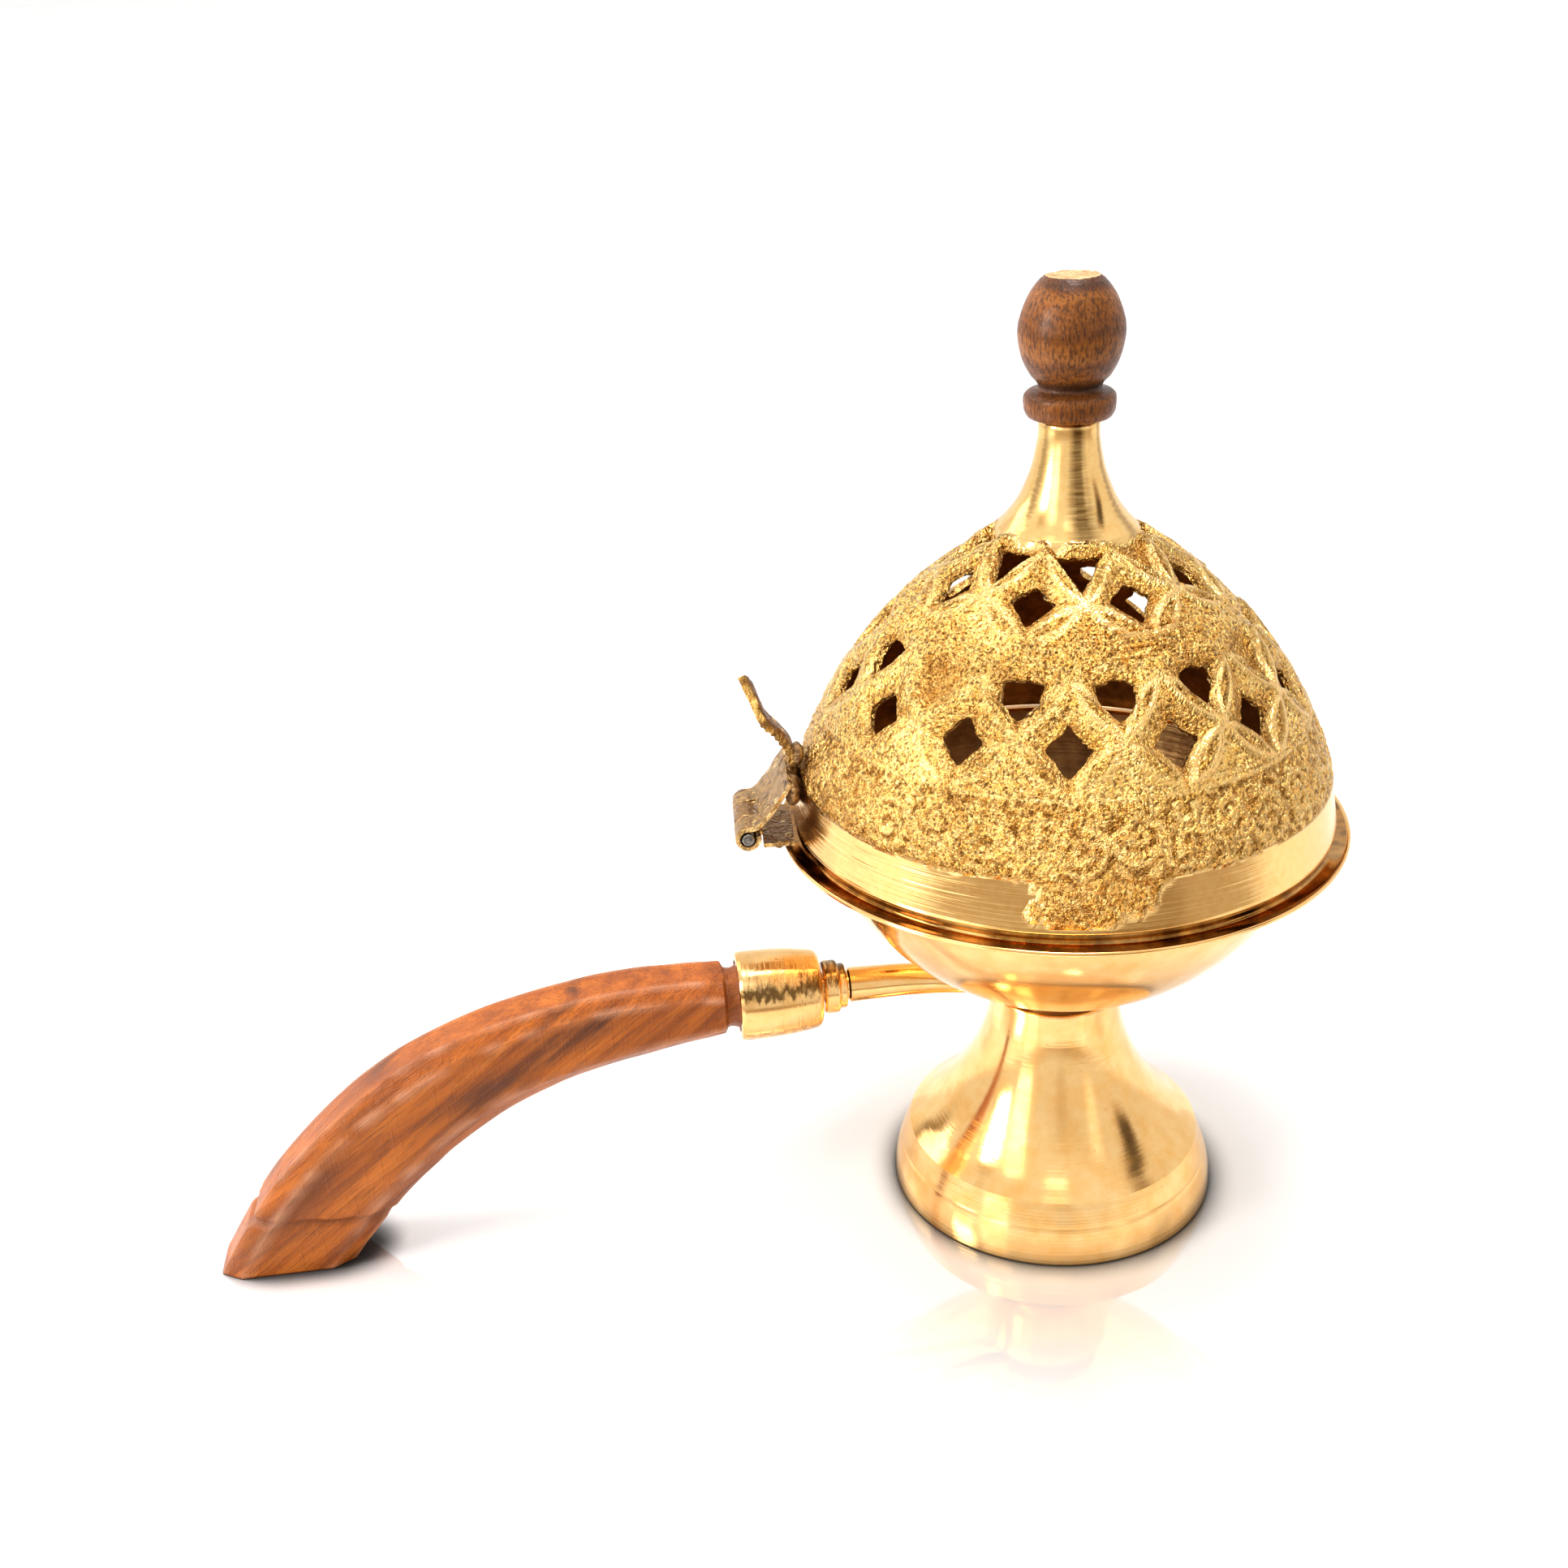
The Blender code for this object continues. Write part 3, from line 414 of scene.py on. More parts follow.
def knob_wood(name):
    g = Graph(name)
    wob = g.noise(90.0, 2.0, 0.5)
    lvl = g.math("ADD", g.z, g.math("MULTIPLY", wob, 0.006))
    bands = g.line_noise(lvl, 260.0, 3.0, 0.6)
    fleck = g.noise(1.0, 3.0, 0.6, vec=g.stretch((2300.0, 2300.0, 520.0)))
    fine = g.noise(1.0, 2.0, 0.5, vec=g.stretch((3600.0, 3600.0, 1100.0)))
    base = g.ramp(bands, [(0.28, (0.13, 0.038, 0.006)), (0.45, (0.23, 0.068, 0.010)), (0.60, (0.31, 0.096, 0.014)), (0.78, (0.43, 0.150, 0.026))])
    base = g.mix(g.span(fleck, 0.45, 0.60, 0.0, 0.76), base, (0.050, 0.017, 0.006))
    base = g.mix(g.span(fine, 0.60, 0.75, 0.0, 0.6), base, (0.42, 0.19, 0.075))
    dark = g.attr("relief")[1]
    base = g.mix(dark, base, (0.045, 0.018, 0.009))
    n = g.bump(fleck, 0.00012, 0.8)
    n = g.bump(fine, 0.00006, 0.7, n)
    m = g.done(base, g.span(fleck, 0.35, 0.65, 0.30, 0.44), 0.0, n)
    g.b.inputs["Specular IOR Level"].default_value = 0.20
    g.b.inputs["Coat Weight"].default_value = 0.08
    g.b.inputs["Coat Roughness"].default_value = 0.20
    return m


def end_grain(name):
    g = Graph(name)
    a = g.noise(1500.0, 4.0, 0.65)
    b = g.noise(420.0, 3.0, 0.6)
    base = g.ramp(g.math("ADD", g.math("MULTIPLY", a, 0.6), g.math("MULTIPLY", b, 0.4)),
                  [(0.34, (0.30, 0.13, 0.045)), (0.47, (0.62, 0.36, 0.15)), (0.62, (0.83, 0.58, 0.31))])
    n = g.bump(a, 0.0004)
    return g.done(base, 0.7, 0.0, n)


MAT = {
    "cast": cast_brass("cast_lid_skin"),
    "inner": inner_brass("brown_inside"),
    "bowl": turned_brass("spun_bowl_polish", rough=0.10, ring=700.0, ring_depth=0.00002, tarnish_and_painted_streaks=0.2),
    "foot": turned_brass("turned_foot_polish", rough=0.14, ring=1100.0, ring_depth=0.00006, tarnish_and_painted_streaks=0.22),
    "rod": turned_brass("drawn_rod_polish", along="x", rough=0.15, ring=160.0, ring_depth=0.00006, tarnish_and_painted_streaks=0.35),
    "ferrule": turned_brass("turned_ferrule_polish", along="x", rough=0.15, ring=1300.0, ring_depth=0.00016, tarnish_and_painted_streaks=0.9),
    "bronze": old_bronze("browned_hinge_metal"),
    "leaf": old_bronze("worn_leaf_metal", light=(0.50, 0.29, 0.11), dark=(0.09, 0.040, 0.013), bright=(0.86, 0.58, 0.24), scale=0.7),
    "lever": old_bronze("hammered_lever_metal", light=(0.24, 0.11, 0.03), dark=(0.06, 0.024, 0.008), bright=(0.92, 0.58, 0.17), scale=0.6),
    "braze": braze_metal("lumpy_braze"),
    "steel": steel("dull_fastener_steel"),
    "wood": handle_wood("sanded_handle_wood"),
    "knob": knob_wood("turned_knob_wood"),
    "end": end_grain("rough_end_grain"),
}


# ------------------------------------------------------------------ mesh building
def piece(name, verts, faces, mats, body, nodes, index=None, sharp=35.0, relief=None):
    me = bpy.data.meshes.new(name)
    me.from_pydata((np.asarray(verts, float) * 0.001).tolist(), [], faces)
    bm = bmesh.new()
    bm.from_mesh(me)
    bmesh.ops.recalc_face_normals(bm, faces=bm.faces)
    bm.to_mesh(me)
    bm.free()
    for m in mats:
        me.materials.append(MAT[m])
    if index is not None:
        me.polygons.foreach_set("material_index", np.asarray(index, np.int32))
    n = len(me.vertices)
    col = np.zeros((n, 4), np.float32)
    if relief is not None:
        col[:, :relief.shape[1]] = relief
    col[:, 3] = 1.0
    at = me.color_attributes.new(name="relief", type="FLOAT_COLOR", domain="POINT")
    at.data.foreach_set("color", col.ravel())
    me.shade_smooth()
    me.set_sharp_from_angle(angle=math.radians(sharp))
    me.update()
    ob = bpy.data.objects.new(name, me)
    bpy.context.scene.collection.objects.link(ob)
    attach(ob, body)
    if nodes:
        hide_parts(*nodes)
    return ob


def revolve(profile, seg, closed=True, mats=None, where=None):
    """Rings from a profile of (r, z); r = 0 is one point. mats gives each span's material index."""
    verts, rings, faces, index = [], [], [], []
    ang = np.arange(seg) * math.tau / seg
    for r, z in profile:
        if r <= 1e-6:
            rings.append([len(verts)])
            verts.append((0.0, 0.0, z))
        else:
            rings.append(list(range(len(verts), len(verts) + seg)))
            verts.extend(zip(r * np.cos(ang), r * np.sin(ang), [z] * seg))
    spans = list(zip(range(len(rings) - 1), range(1, len(rings))))
    if closed:
        spans.append((len(rings) - 1, 0))
    for k, (i, j) in enumerate(spans):
        a, b = rings[i], rings[j]
        m = mats[k] if mats else 0
        if len(a) == 1 and len(b) == 1:
            continue
        for q in range(seg):
            w = (q + 1) % seg
            if len(a) == 1:
                faces.append((a[0], b[q], b[w]))
            elif len(b) == 1:
                faces.append((a[q], b[0], a[w]))
            else:
                faces.append((a[q], b[q], b[w], a[w]))
            index.append(m)
    v = np.array(verts, float)
    if where is not None:
        v = where(v)
    return v, faces, index


def on_axis(v):
    return v + np.array([AXIS_X, 0.0, 0.0])


def along_handle(v):
    """(r about the rod, u) turned to lie along -X at the rod's height."""
    return np.c_[AXIS_X - v[:, 2], v[:, 0], ROD_Z + v[:, 1]]


_ha = math.radians(HINGE_AZ)


def at_hinge(v):
    """Local (u outward, y along the pin, z) to the row frame."""
    v = np.asarray(v, float)
    return np.c_[AXIS_X + v[:, 0] * math.cos(_ha) - v[:, 1] * math.sin(_ha),
                 v[:, 0] * math.sin(_ha) + v[:, 1] * math.cos(_ha), v[:, 2]]


def rounded(profile, keep, r=0.15, n=3):
    """A closed profile with the corners in keep left as they are and the others eased by r."""
    p = [np.array(q, float) for q in profile]
    out = []
    for i, q in enumerate(p):
        a, b = p[i - 1], p[(i + 1) % len(p)]
        da, db = a - q, b - q
        la, lb = np.hypot(*da), np.hypot(*db)
        if i in keep or la < 1e-6 or lb < 1e-6:
            out.append(tuple(q))
            continue
        c = float(np.dot(da, db) / (la * lb))
        if c < -0.94:
            out.append(tuple(q))
            continue
        e = min(r, la * 0.45, lb * 0.45)
        s, t = q + da / la * e, q + db / lb * e
        for k in range(n + 1):
            w = k / n
            out.append(tuple((1 - w) ** 2 * s + 2 * w * (1 - w) * q + w * w * t))
    return out


def thick_grid(top, low, keep):
    """A closed sheet: top and low are (n, m, 3) grids of points, keep the cells that exist."""
    n, m = top.shape[:2]
    v = np.concatenate([top.reshape(-1, 3), low.reshape(-1, 3)])
    off = n * m
    faces, edges = [], {}
    for i in range(n - 1):
        for j in range(m - 1):
            if not keep[i, j]:
                continue
            q = (i * m + j, (i + 1) * m + j, (i + 1) * m + j + 1, i * m + j + 1)
            faces.append(q)
            faces.append(tuple(k + off for k in q[::-1]))
            for a, b in zip(q, q[1:] + q[:1]):
                if (b, a) in edges:
                    del edges[(b, a)]
                else:
                    edges[(a, b)] = True
    for a, b in edges:
        faces.append((b, a, a + off, b + off))
    used = sorted({k for f in faces for k in f})
    new = {k: i for i, k in enumerate(used)}
    return v[used], [tuple(new[k] for k in f) for f in faces], used


# ================================================================== lid
NECK = [(4.7, 148.3), (5.0, 148.0), (5.05, 146.0), (5.35, 143.8), (5.95, 140.9), (6.9, 138.1), (8.3, 135.0),
        (10.4, 132.1), (13.2, 129.5), (16.4, 127.2)]
DOME = [(16.4, 127.2), (21.3, 123.5), (26.0, 119.5), (30.1, 115.5), (33.7, 111.5), (36.8, 107.5), (39.5, 103.5),
        (41.6, 99.5), (43.4, 95.5), (45.0, 91.6), (46.2, 87.7)]
LOW_COUNT, UP_COUNT = 14, 8
LOW_PHASE, UP_PHASE = 204.2, 194.6
LOW_SOLID_TRIANGLES, UP_SOLID_TRIANGLES, UP_SOLID_DIAMONDS = (0, 4, 9), (2, 5), (4,)
WALL = 2.0

_line = spline(NECK, 8) + spline(DOME, 8)[1:] + [(46.35, 86.6), (46.9, 82.8), (47.5, 79.35), (47.42, 79.1), (47.3, 79.0)]
_line = np.array(_line[::-1])                       # from the lower edge up to the top of the neck
_S = np.r_[0, np.cumsum(np.hypot(*(_line[1:] - _line[:-1]).T))]
_Z = np.maximum.accumulate(_line[:, 1] + np.arange(len(_line)) * 1e-9)


def s_of(z):
    return np.interp(z, _Z, _S)


def rz(s):
    return np.interp(s, _S, _line[:, 0]), np.interp(s, _S, _line[:, 1])


def frame_at(s, h=0.6):
    """Outward normal (nr, nz) of the lid's line at s, smoothed over h mm."""
    a, b = np.clip(s - h, 0, _S[-1]), np.clip(s + h, 0, _S[-1])
    (r0, z0), (r1, z1) = rz(a), rz(b)
    tr, tz = r1 - r0, z1 - z0
    n = np.hypot(tr, tz)
    return tz / n, -tr / n


def pattern_angle(az):
    """Undo the hand-cut unevenness, so that cells are equal."""
    e = az.copy()
    for _ in range(6):
        e = az - 2.2 * np.sin(np.radians(e - 248.0))
    return e


def polygon_sdf(px, py, corners):
    """Signed distance to a polygon, negative inside."""
    d = np.full(px.shape, 1e18)
    sign = np.ones(px.shape)
    k = len(corners)
    j = k - 1
    for i in range(k):
        vi, vj = corners[i], corners[j]
        ex, ey = vj[0] - vi[0], vj[1] - vi[1]
        wx, wy = px - vi[0], py - vi[1]
        t = np.clip((wx * ex + wy * ey) / (ex * ex + ey * ey), 0, 1)
        bx, by = wx - ex * t, wy - ey * t
        d = np.minimum(d, bx * bx + by * by)
        c1, c2, c3 = py >= vi[1], py < vj[1], ex * wy > ey * wx
        flip = (c1 & c2 & c3) | (~c1 & ~c2 & ~c3)
        sign = np.where(flip, -sign, sign)
        j = i
    return sign * np.sqrt(d)


def vesica(px, py, a, b, w):
    """Signed distance-like value to a pointed oval from a to b with half width w."""
    ax, ay, bx, by = a[0], a[1], b[0], b[1]
    cx, cy = (ax + bx) / 2, (ay + by) / 2
    L = math.hypot(bx - ax, by - ay)
    ux, uy = (bx - ax) / L, (by - ay) / L
    x = (px - cx) * ux + (py - cy) * uy
    y = -(px - cx) * uy + (py - cy) * ux
    half = L / 2
    k = (half * half - w * w) / (2 * w)
    return np.hypot(x, np.abs(y) + k) - (k + w)


def corner(deg, z):
    """(azimuth, z) to distances on the unrolled skin, mm."""
    r, _ = rz(s_of(z))
    return (math.radians(deg) * float(r), float(s_of(z)))


LOW = dict(
    count=LOW_COUNT, phase=LOW_PHASE, reach=(99.0, 117.2),
    hole_d=[corner(0, 109.0), corner(-4.8, 106.1), corner(0, 102.8), corner(4.8, 106.1)],
    hole_t=[corner(-5.4, 114.3), corner(-4.4, 112.0), corner(0, 109.8), corner(4.4, 112.0), corner(5.4, 114.3), corner(0, 114.8)],
    frame_d=[corner(0, 112.1), corner(-10.0, 107.0), corner(0, 99.9), corner(10.0, 107.0)],
    frame_t=[corner(-9.7, 116.1), corner(-6.3, 112.2), corner(0, 108.3), corner(6.3, 112.2), corner(9.7, 116.1), corner(0, 116.7)],
    node=(12.857, 107.1), top=(0.0, 114.9), bottom=(0.0, 99.6), petal=(1.55, 2.25),
    solid_t=LOW_SOLID_TRIANGLES, solid_d=())
UP = dict(
    count=UP_COUNT, phase=UP_PHASE, reach=(119.0, 131.0),
    hole_d=[corner(0, 126.0), corner(-9.0, 124.1), corner(0, 121.5), corner(9.0, 124.1)],
    hole_t=[corner(-14.5, 129.3), corner(0, 125.6), corner(14.5, 129.3)],
    frame_d=[corner(0, 127.9), corner(-16.5, 124.2), corner(0, 119.3), corner(16.5, 124.2)],
    frame_t=[corner(-19.5, 130.3), corner(0, 124.7), corner(19.5, 130.3), corner(0, 130.6)],
    node=(22.5, 123.6), top=(0.0, 129.6), bottom=(0.0, 118.9), petal=(1.4, 2.3),
    solid_t=UP_SOLID_TRIANGLES, solid_d=UP_SOLID_DIAMONDS)


def row_fields(az, s, row):
    """(hole distance, recess 0..1, petal height) of one pierced row at azimuths and arc lengths."""
    step = 360.0 / row["count"]
    r, z = rz(s)
    e = pattern_angle(az)
    x = (e - row["phase"]) / step
    hole = np.full(az.shape, 9.0)
    recess = np.zeros(az.shape)
    for half, hk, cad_, solid in ((0.0, "hole_d", "frame_d", row["solid_d"]), (0.5, "hole_t", "frame_t", row["solid_t"])):
        k = np.round(x - half)
        X = np.radians((x - half - k) * step) * r
        k = np.mod(k, row["count"]).astype(int)
        dh = polygon_sdf(X, s, row[hk])
        df = polygon_sdf(X, s, row[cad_]) - 0.25
        t = np.where(df < 0, -df / np.maximum(-df + np.maximum(dh, 0), 1e-6), 0.0)
        recess = np.maximum(recess, np.where(df < 0, t, 0))
        open_ = ~np.isin(k, solid)
        hole = np.minimum(hole, np.where(open_, dh, 9.0))
    k = np.round(x)
    X = np.radians((x - k) * step) * r
    rib = np.zeros(az.shape)
    groove = np.zeros(az.shape)
    node, top, bot = corner(*row["node"]), corner(*row["top"]), corner(*row["bottom"])
    for side in (-1, 1):
        a = (side * node[0], node[1])
        for end, w in ((top, row["petal"][0]), (bot, row["petal"][1])):
            d = vesica(X, s, a, end, w)
            rib = np.maximum(rib, sstep(-d, -0.15, 0.30))
            mid = ((a[0] + end[0]) / 2, (a[1] + end[1]) / 2)
            la = (mid[0] + (a[0] - mid[0]) * 0.66, mid[1] + (a[1] - mid[1]) * 0.66)
            lb = (mid[0] + (end[0] - mid[0]) * 0.66, mid[1] + (end[1] - mid[1]) * 0.66)
            di = vesica(X, s, la, lb, w * 0.44)
            groove = np.maximum(groove, sstep(-di, -0.12, 0.22))
        dn = np.hypot(X - a[0], s - a[1])
        rib = np.maximum(rib, sstep(-dn, -1.7, -0.8))
    return hole, recess, rib, groove


def scroll_unit():
    """Polylines, in mm, of one repeat of a running vine with a curl on each side."""
    L, H = 15.6, 11.6
    t = np.linspace(0, 1, 33)
    lines = [np.c_[t * L, H / 2 + 3.1 * np.sin(t * math.tau)]]
    for cx, cy, turn, up in ((L * 0.25, H / 2 - 1.3, 1, -1), (L * 0.75, H / 2 + 1.3, 1, 1)):
        a = np.linspace(0, 1, 30)
        rad = 3.6 * (1 - a) ** 0.85 + 0.45
        ang = turn * a * math.radians(560) + math.radians(up * 200)
        lines.append(np.c_[cx + rad * np.cos(ang), cy + up * 0.2 + rad * np.sin(ang) * 0.95])
    for cx, cy, ang in ((2.0, 10.0, 0.9), (6.2, 9.9, 2.2), (9.8, 1.6, -0.9), (13.9, 1.7, -2.2)):
        a = np.linspace(-1, 1, 5)
        lines.append(np.c_[cx + a * math.cos(ang) * 1.0, cy + a * math.sin(ang) * 1.0])
    return L, lines


def frieze(az, s, p):
    """Height 0..1 of the worn scrollwork between the turned band and the pierced row."""
    s0, s1 = float(s_of(87.7)), float(s_of(99.1))
    L, lines = scroll_unit()
    units = 17
    x = (az / 360.0 * units) % 1.0 * L
    y = s - s0
    warp = vnoise(p, 0.35, 5) * 0.9
    x, y = x + warp, y + vnoise(p, 0.4, 6) * 0.7
    d = np.full(az.shape, 9.0)
    for ln in lines:
        for (ax, ay), (bx, by) in zip(ln[:-1], ln[1:]):
            ex, ey = bx - ax, by - ay
            for shift in (-L, 0, L):
                wx, wy = x - ax - shift, y - ay
                t = np.clip((wx * ex + wy * ey) / (ex * ex + ey * ey + 1e-9), 0, 1)
                d = np.minimum(d, np.hypot(wx - ex * t, wy - ey * t))
    return sstep(-d, -1.05, -0.30) * sstep(y, -0.2, 0.8) * sstep(s1 - s, 0.2, 0.9)


PATCH_AZ = (246.5, 274.5)      # where the turning left the cast skin on the band


def lid_fields(az, s):
    """Everything that depends on the place on the lid's skin."""
    r, z = rz(s)
    a = np.radians(az)
    p = np.c_[r * np.cos(a), r * np.sin(a), z]
    hole = np.full(az.shape, 9.0)
    recess = np.zeros(az.shape)
    rib = np.zeros(az.shape)
    groove = np.zeros(az.shape)
    for row in (LOW, UP):
        m = (z > row["reach"][0]) & (z < row["reach"][1])
        if m.any():
            h, c, b, g = row_fields(az[m], s[m], row)
            hole[m] = np.minimum(hole[m], h)
            recess[m] = np.maximum(recess[m], c)
            fade = sstep(z[m], row["reach"][0], row["reach"][0] + 0.8) * (1 - sstep(z[m], row["reach"][1] - 0.8, row["reach"][1]))
            rib[m] = np.maximum(rib[m], b * fade)
            groove[m] = np.maximum(groove[m], g * fade)
    hole = hole + 0.34 * vnoise(p, 0.70, 1) + 0.17 * vnoise(p, 1.7, 2) - 0.40
    wear = (0.35 + 0.85 * sstep(fbm(p, 0.05, 2, 3), -0.35, 0.35)) * (1 - 0.62 * np.exp(-(((az - 196 + 180) % 360 - 180) / 30.0) ** 2))
    zc = z + 0.35 * vnoise(p, 0.25, 4)
    in_frieze = sstep(zc, 87.3, 88.0) * (1 - sstep(z, 98.7, 99.2))
    scroll = np.zeros(az.shape)
    m = (z > 87.0) & (z < 99.5)
    if m.any():
        scroll[m] = frieze(az[m], s[m], p[m])
    sl = float(s_of(99.35))
    line = np.exp(-((s - sl) / 0.36) ** 2) + 0.55 * np.exp(-((s - sl - 1.15) / 0.28) ** 2) * (1 - sstep(recess, 0.0, 0.1))
    ring = sstep(z, 116.2, 117.2) * (1 - sstep(z, 120.6, 121.8))
    # sand: everywhere except the turned band and the neck
    edge_up = 129.9 + 0.9 * vnoise(p, 0.25, 8)
    sand = sstep(zc, 87.35, 87.9) * (1 - sstep(z, edge_up, edge_up + 0.7))
    mid = (PATCH_AZ[0] + PATCH_AZ[1]) / 2
    half = (PATCH_AZ[1] - PATCH_AZ[0]) / 2
    dz = (87.6 - z) / 7.0
    u = np.abs((az - mid + 180) % 360 - 180) / half + 0.35 * vnoise(p, 0.28, 9) + 0.18 * vnoise(p, 0.8, 10)
    patch = (1 - sstep(u + np.clip(dz, 0, 2) ** 3 * 0.5, 0.86, 0.98)) * sstep(z, 79.9, 80.6)
    sand = np.maximum(sand, patch * (z < 88))
    lumps = fbm(p, 1.45, 2, 11)
    grain = fbm(p, 2.6, 2, 15)
    coarse = fbm(p, 0.32, 2, 12)
    depth = 1.2 * np.clip(recess, 0.0, 1.0) ** 0.8
    h = (0.46 * rib * wear - 0.42 * groove * wear + 0.46 * scroll * wear * in_frieze
         + 0.40 * line * (0.5 + 0.5 * wear) - depth)
    rough = sand * (0.15 * lumps + 0.10 * grain) * (1 + 0.8 * in_frieze + 0.5 * ring) * (1 - 0.6 * rib * (1 - groove))
    h = h + rough + 0.10 * coarse * sand + 0.13 * ring * fbm(p * np.array([1, 1, 3.0]), 0.5, 2, 13)
    h = h - 0.12 * sand * (1 - in_frieze * 0.4) - 0.16 * patch * (z < 87.6)
    lathe_mask = ring * np.clip(np.exp(-(((az - 288 + 180) % 360 - 180) / 36.0) ** 4) * (0.8 + 0.6 * vnoise(p, 0.09, 14))
                                + 0.5 * sstep(vnoise(p, 0.06, 19), 0.1, 0.5), 0, 1)
    h = h + 0.26 * lathe_mask * np.sin(s * math.tau / 0.95 + 0.6 * vnoise(p, 0.2, 16))
    h = h * sstep(s, 0.3, 1.2)
    polish = np.clip(1 - sand + 0.72 * sand * np.clip(np.maximum(rib * (1 - groove), line * 0.8) * wear, 0, 1)
                     + 0.22 * sand * scroll * wear, 0, 1)
    cavity = np.clip(0.7 * sstep(recess, 0.05, 0.8) + 0.45 * groove + (1.0 * in_frieze + 0.8 * patch * (z < 87.6)) * (1 - 0.9 * scroll)
                     * sstep(lumps, 0.35, -0.25), 0, 1)
    heat = np.exp(-(((az - HINGE_AZ - 10 + 180) % 360 - 180) / 26.0) ** 2) * (1 - sstep(z, 88, 97))
    cavity = np.clip(cavity + heat * (0.55 + 0.5 * vnoise(p, 0.3, 17)), 0, 1)
    band_lines = (z < 87.6) * (1 - patch) * (0.04 + 0.5 * np.exp(-(((az - 205 + 180) % 360 - 180) / 30.0) ** 2) + 0.10 * sstep(vnoise(p, 0.03, 18), 0.0, 0.5))
    return hole, np.clip(h, -1.45, 0.55), np.c_[polish, cavity, np.clip(lathe_mask + band_lines, 0, 1)]


def skin(az, s, inward=None, h=0.0):
    r, z = rz(s)
    nr, nz = frame_at(s)
    d = h if inward is None else -inward
    r, z = r + nr * d, z + nz * d
    a = np.radians(az)
    return np.c_[AXIS_X + r * np.cos(a), r * np.sin(a), z]


class Shell:
    """Grids of rings clipped by the holes, joined into one closed lid."""

    def __init__(self):
        self.v, self.rel, self.f, self.idx = [], [], [], []
        self.count = 0

    def add(self, pts, rel):
        i0 = self.count
        self.v.append(pts)
        self.rel.append(rel)
        self.count += len(pts)
        return i0

    def face(self, f, m):
        self.f.append(f)
        self.idx.append(m)

    def between(self, a, b, m):
        """Faces between two rings of vertex numbers whose counts are equal or differ by two."""
        na, nb = len(a), len(b)
        if na == nb:
            for j in range(na):
                k = (j + 1) % na
                self.face((a[j], a[k], b[k], b[j]), m)
        elif na == 2 * nb:
            for j in range(nb):
                k = (j + 1) % nb
                self.face((a[2 * j], a[2 * j + 1], b[j]), m)
                self.face((a[2 * j + 1], b[k], b[j]), m)
                self.face((a[2 * j + 1], a[(2 * j + 2) % na], b[k]), m)
        elif nb == 2 * na:
            self.between(b, a, m)

    def sheet(self, s_rows, cols, m, inner=False):
        """One grid of rows at azimuth count cols. Returns (first ring, last ring, cut edges)."""
        n = len(s_rows)
        az = np.tile(np.arange(cols) * 360.0 / cols, n)
        s = np.repeat(s_rows, cols)
        hole, h, rel = lid_fields(az, s)
        pts = skin(az, s, WALL) if inner else skin(az, s, h=h)
        if inner:
            pts = pts + 0.0
            rel = rel * 0.0
        hole = np.where(np.abs(hole) < 0.03, 0.0, hole)
        base = self.add(pts, rel)
        grid = base + np.arange(n * cols).reshape(n, cols)
        hv = hole.reshape(n, cols)
        params = {}
        cut = []
        made = {}
        new_az, new_s = [], []

        def edge_vertex(p, q):
            key = (p, q) if p < q else (q, p)
            if key not in made:
                a0, a1 = key
                i0, j0 = divmod(a0 - base, cols)
                i1, j1 = divmod(a1 - base, cols)
                h0, h1 = hv[i0, j0], hv[i1, j1]
                t = h0 / (h0 - h1)
                z0, z1 = j0 * 360.0 / cols, j1 * 360.0 / cols
                if z1 - z0 > 180:
                    z1 -= 360
                if z0 - z1 > 180:
                    z0 -= 360
                made[key] = base + n * cols + len(new_az)
                new_az.append(z0 + (z1 - z0) * t)
                new_s.append(s_rows[i0] + (s_rows[i1] - s_rows[i0]) * t)
            return made[key]

        for i in range(n - 1):
            h0, h1 = hv[i], hv[i + 1]
            lo = np.minimum(np.minimum(h0, np.roll(h0, -1)), np.minimum(h1, np.roll(h1, -1)))
            hi = np.maximum(np.maximum(h0, np.roll(h0, -1)), np.maximum(h1, np.roll(h1, -1)))
            for j in range(cols):
                if hi[j] <= 0:
                    continue
                k = (j + 1) % cols
                a, b, c, d = int(grid[i, j]), int(grid[i, k]), int(grid[i + 1, k]), int(grid[i + 1, j])
                if lo[j] >= 0:
                    self.face((a, b, c, d), m)
                    if lo[j] == 0:
                        # a cut may run along a side between two vertices at zero; found below by edge matching
                        pass
                    continue
                for tri in ((a, b, c), (a, c, d)):
                    val = [hv[divmod(q - base, cols)] for q in tri]
                    if max(val) <= 0:
                        continue
                    if min(val) >= 0:
                        self.face(tri, m)
                        continue
                    out = []
                    for e in range(3):
                        p, q = tri[e], tri[(e + 1) % 3]
                        vp, vq = val[e], val[(e + 1) % 3]
                        if vp >= 0:
                            out.append(p)
                        if (vp > 0 and vq < 0) or (vp < 0 and vq > 0):
                            out.append(edge_vertex(p, q))
                    if len(out) >= 3:
                        self.face(tuple(out), m)
        if new_az:
            naz, ns = np.array(new_az), np.array(new_s)
            _, h2, rel2 = lid_fields(naz % 360.0, ns)
            p2 = skin(naz, ns, WALL) if inner else skin(naz, ns, h=h2)
            self.add(p2, rel2 * (0.0 if inner else 1.0))
            for q, (x, y) in enumerate(zip(naz, ns)):
                params[base + n * cols + q] = (x % 360.0, y)
        for q in range(n * cols):
            if hole[q] == 0.0:
                params[base + q] = (az[q], s[q])
        return [int(q) for q in grid[0]], [int(q) for q in grid[-1]], params


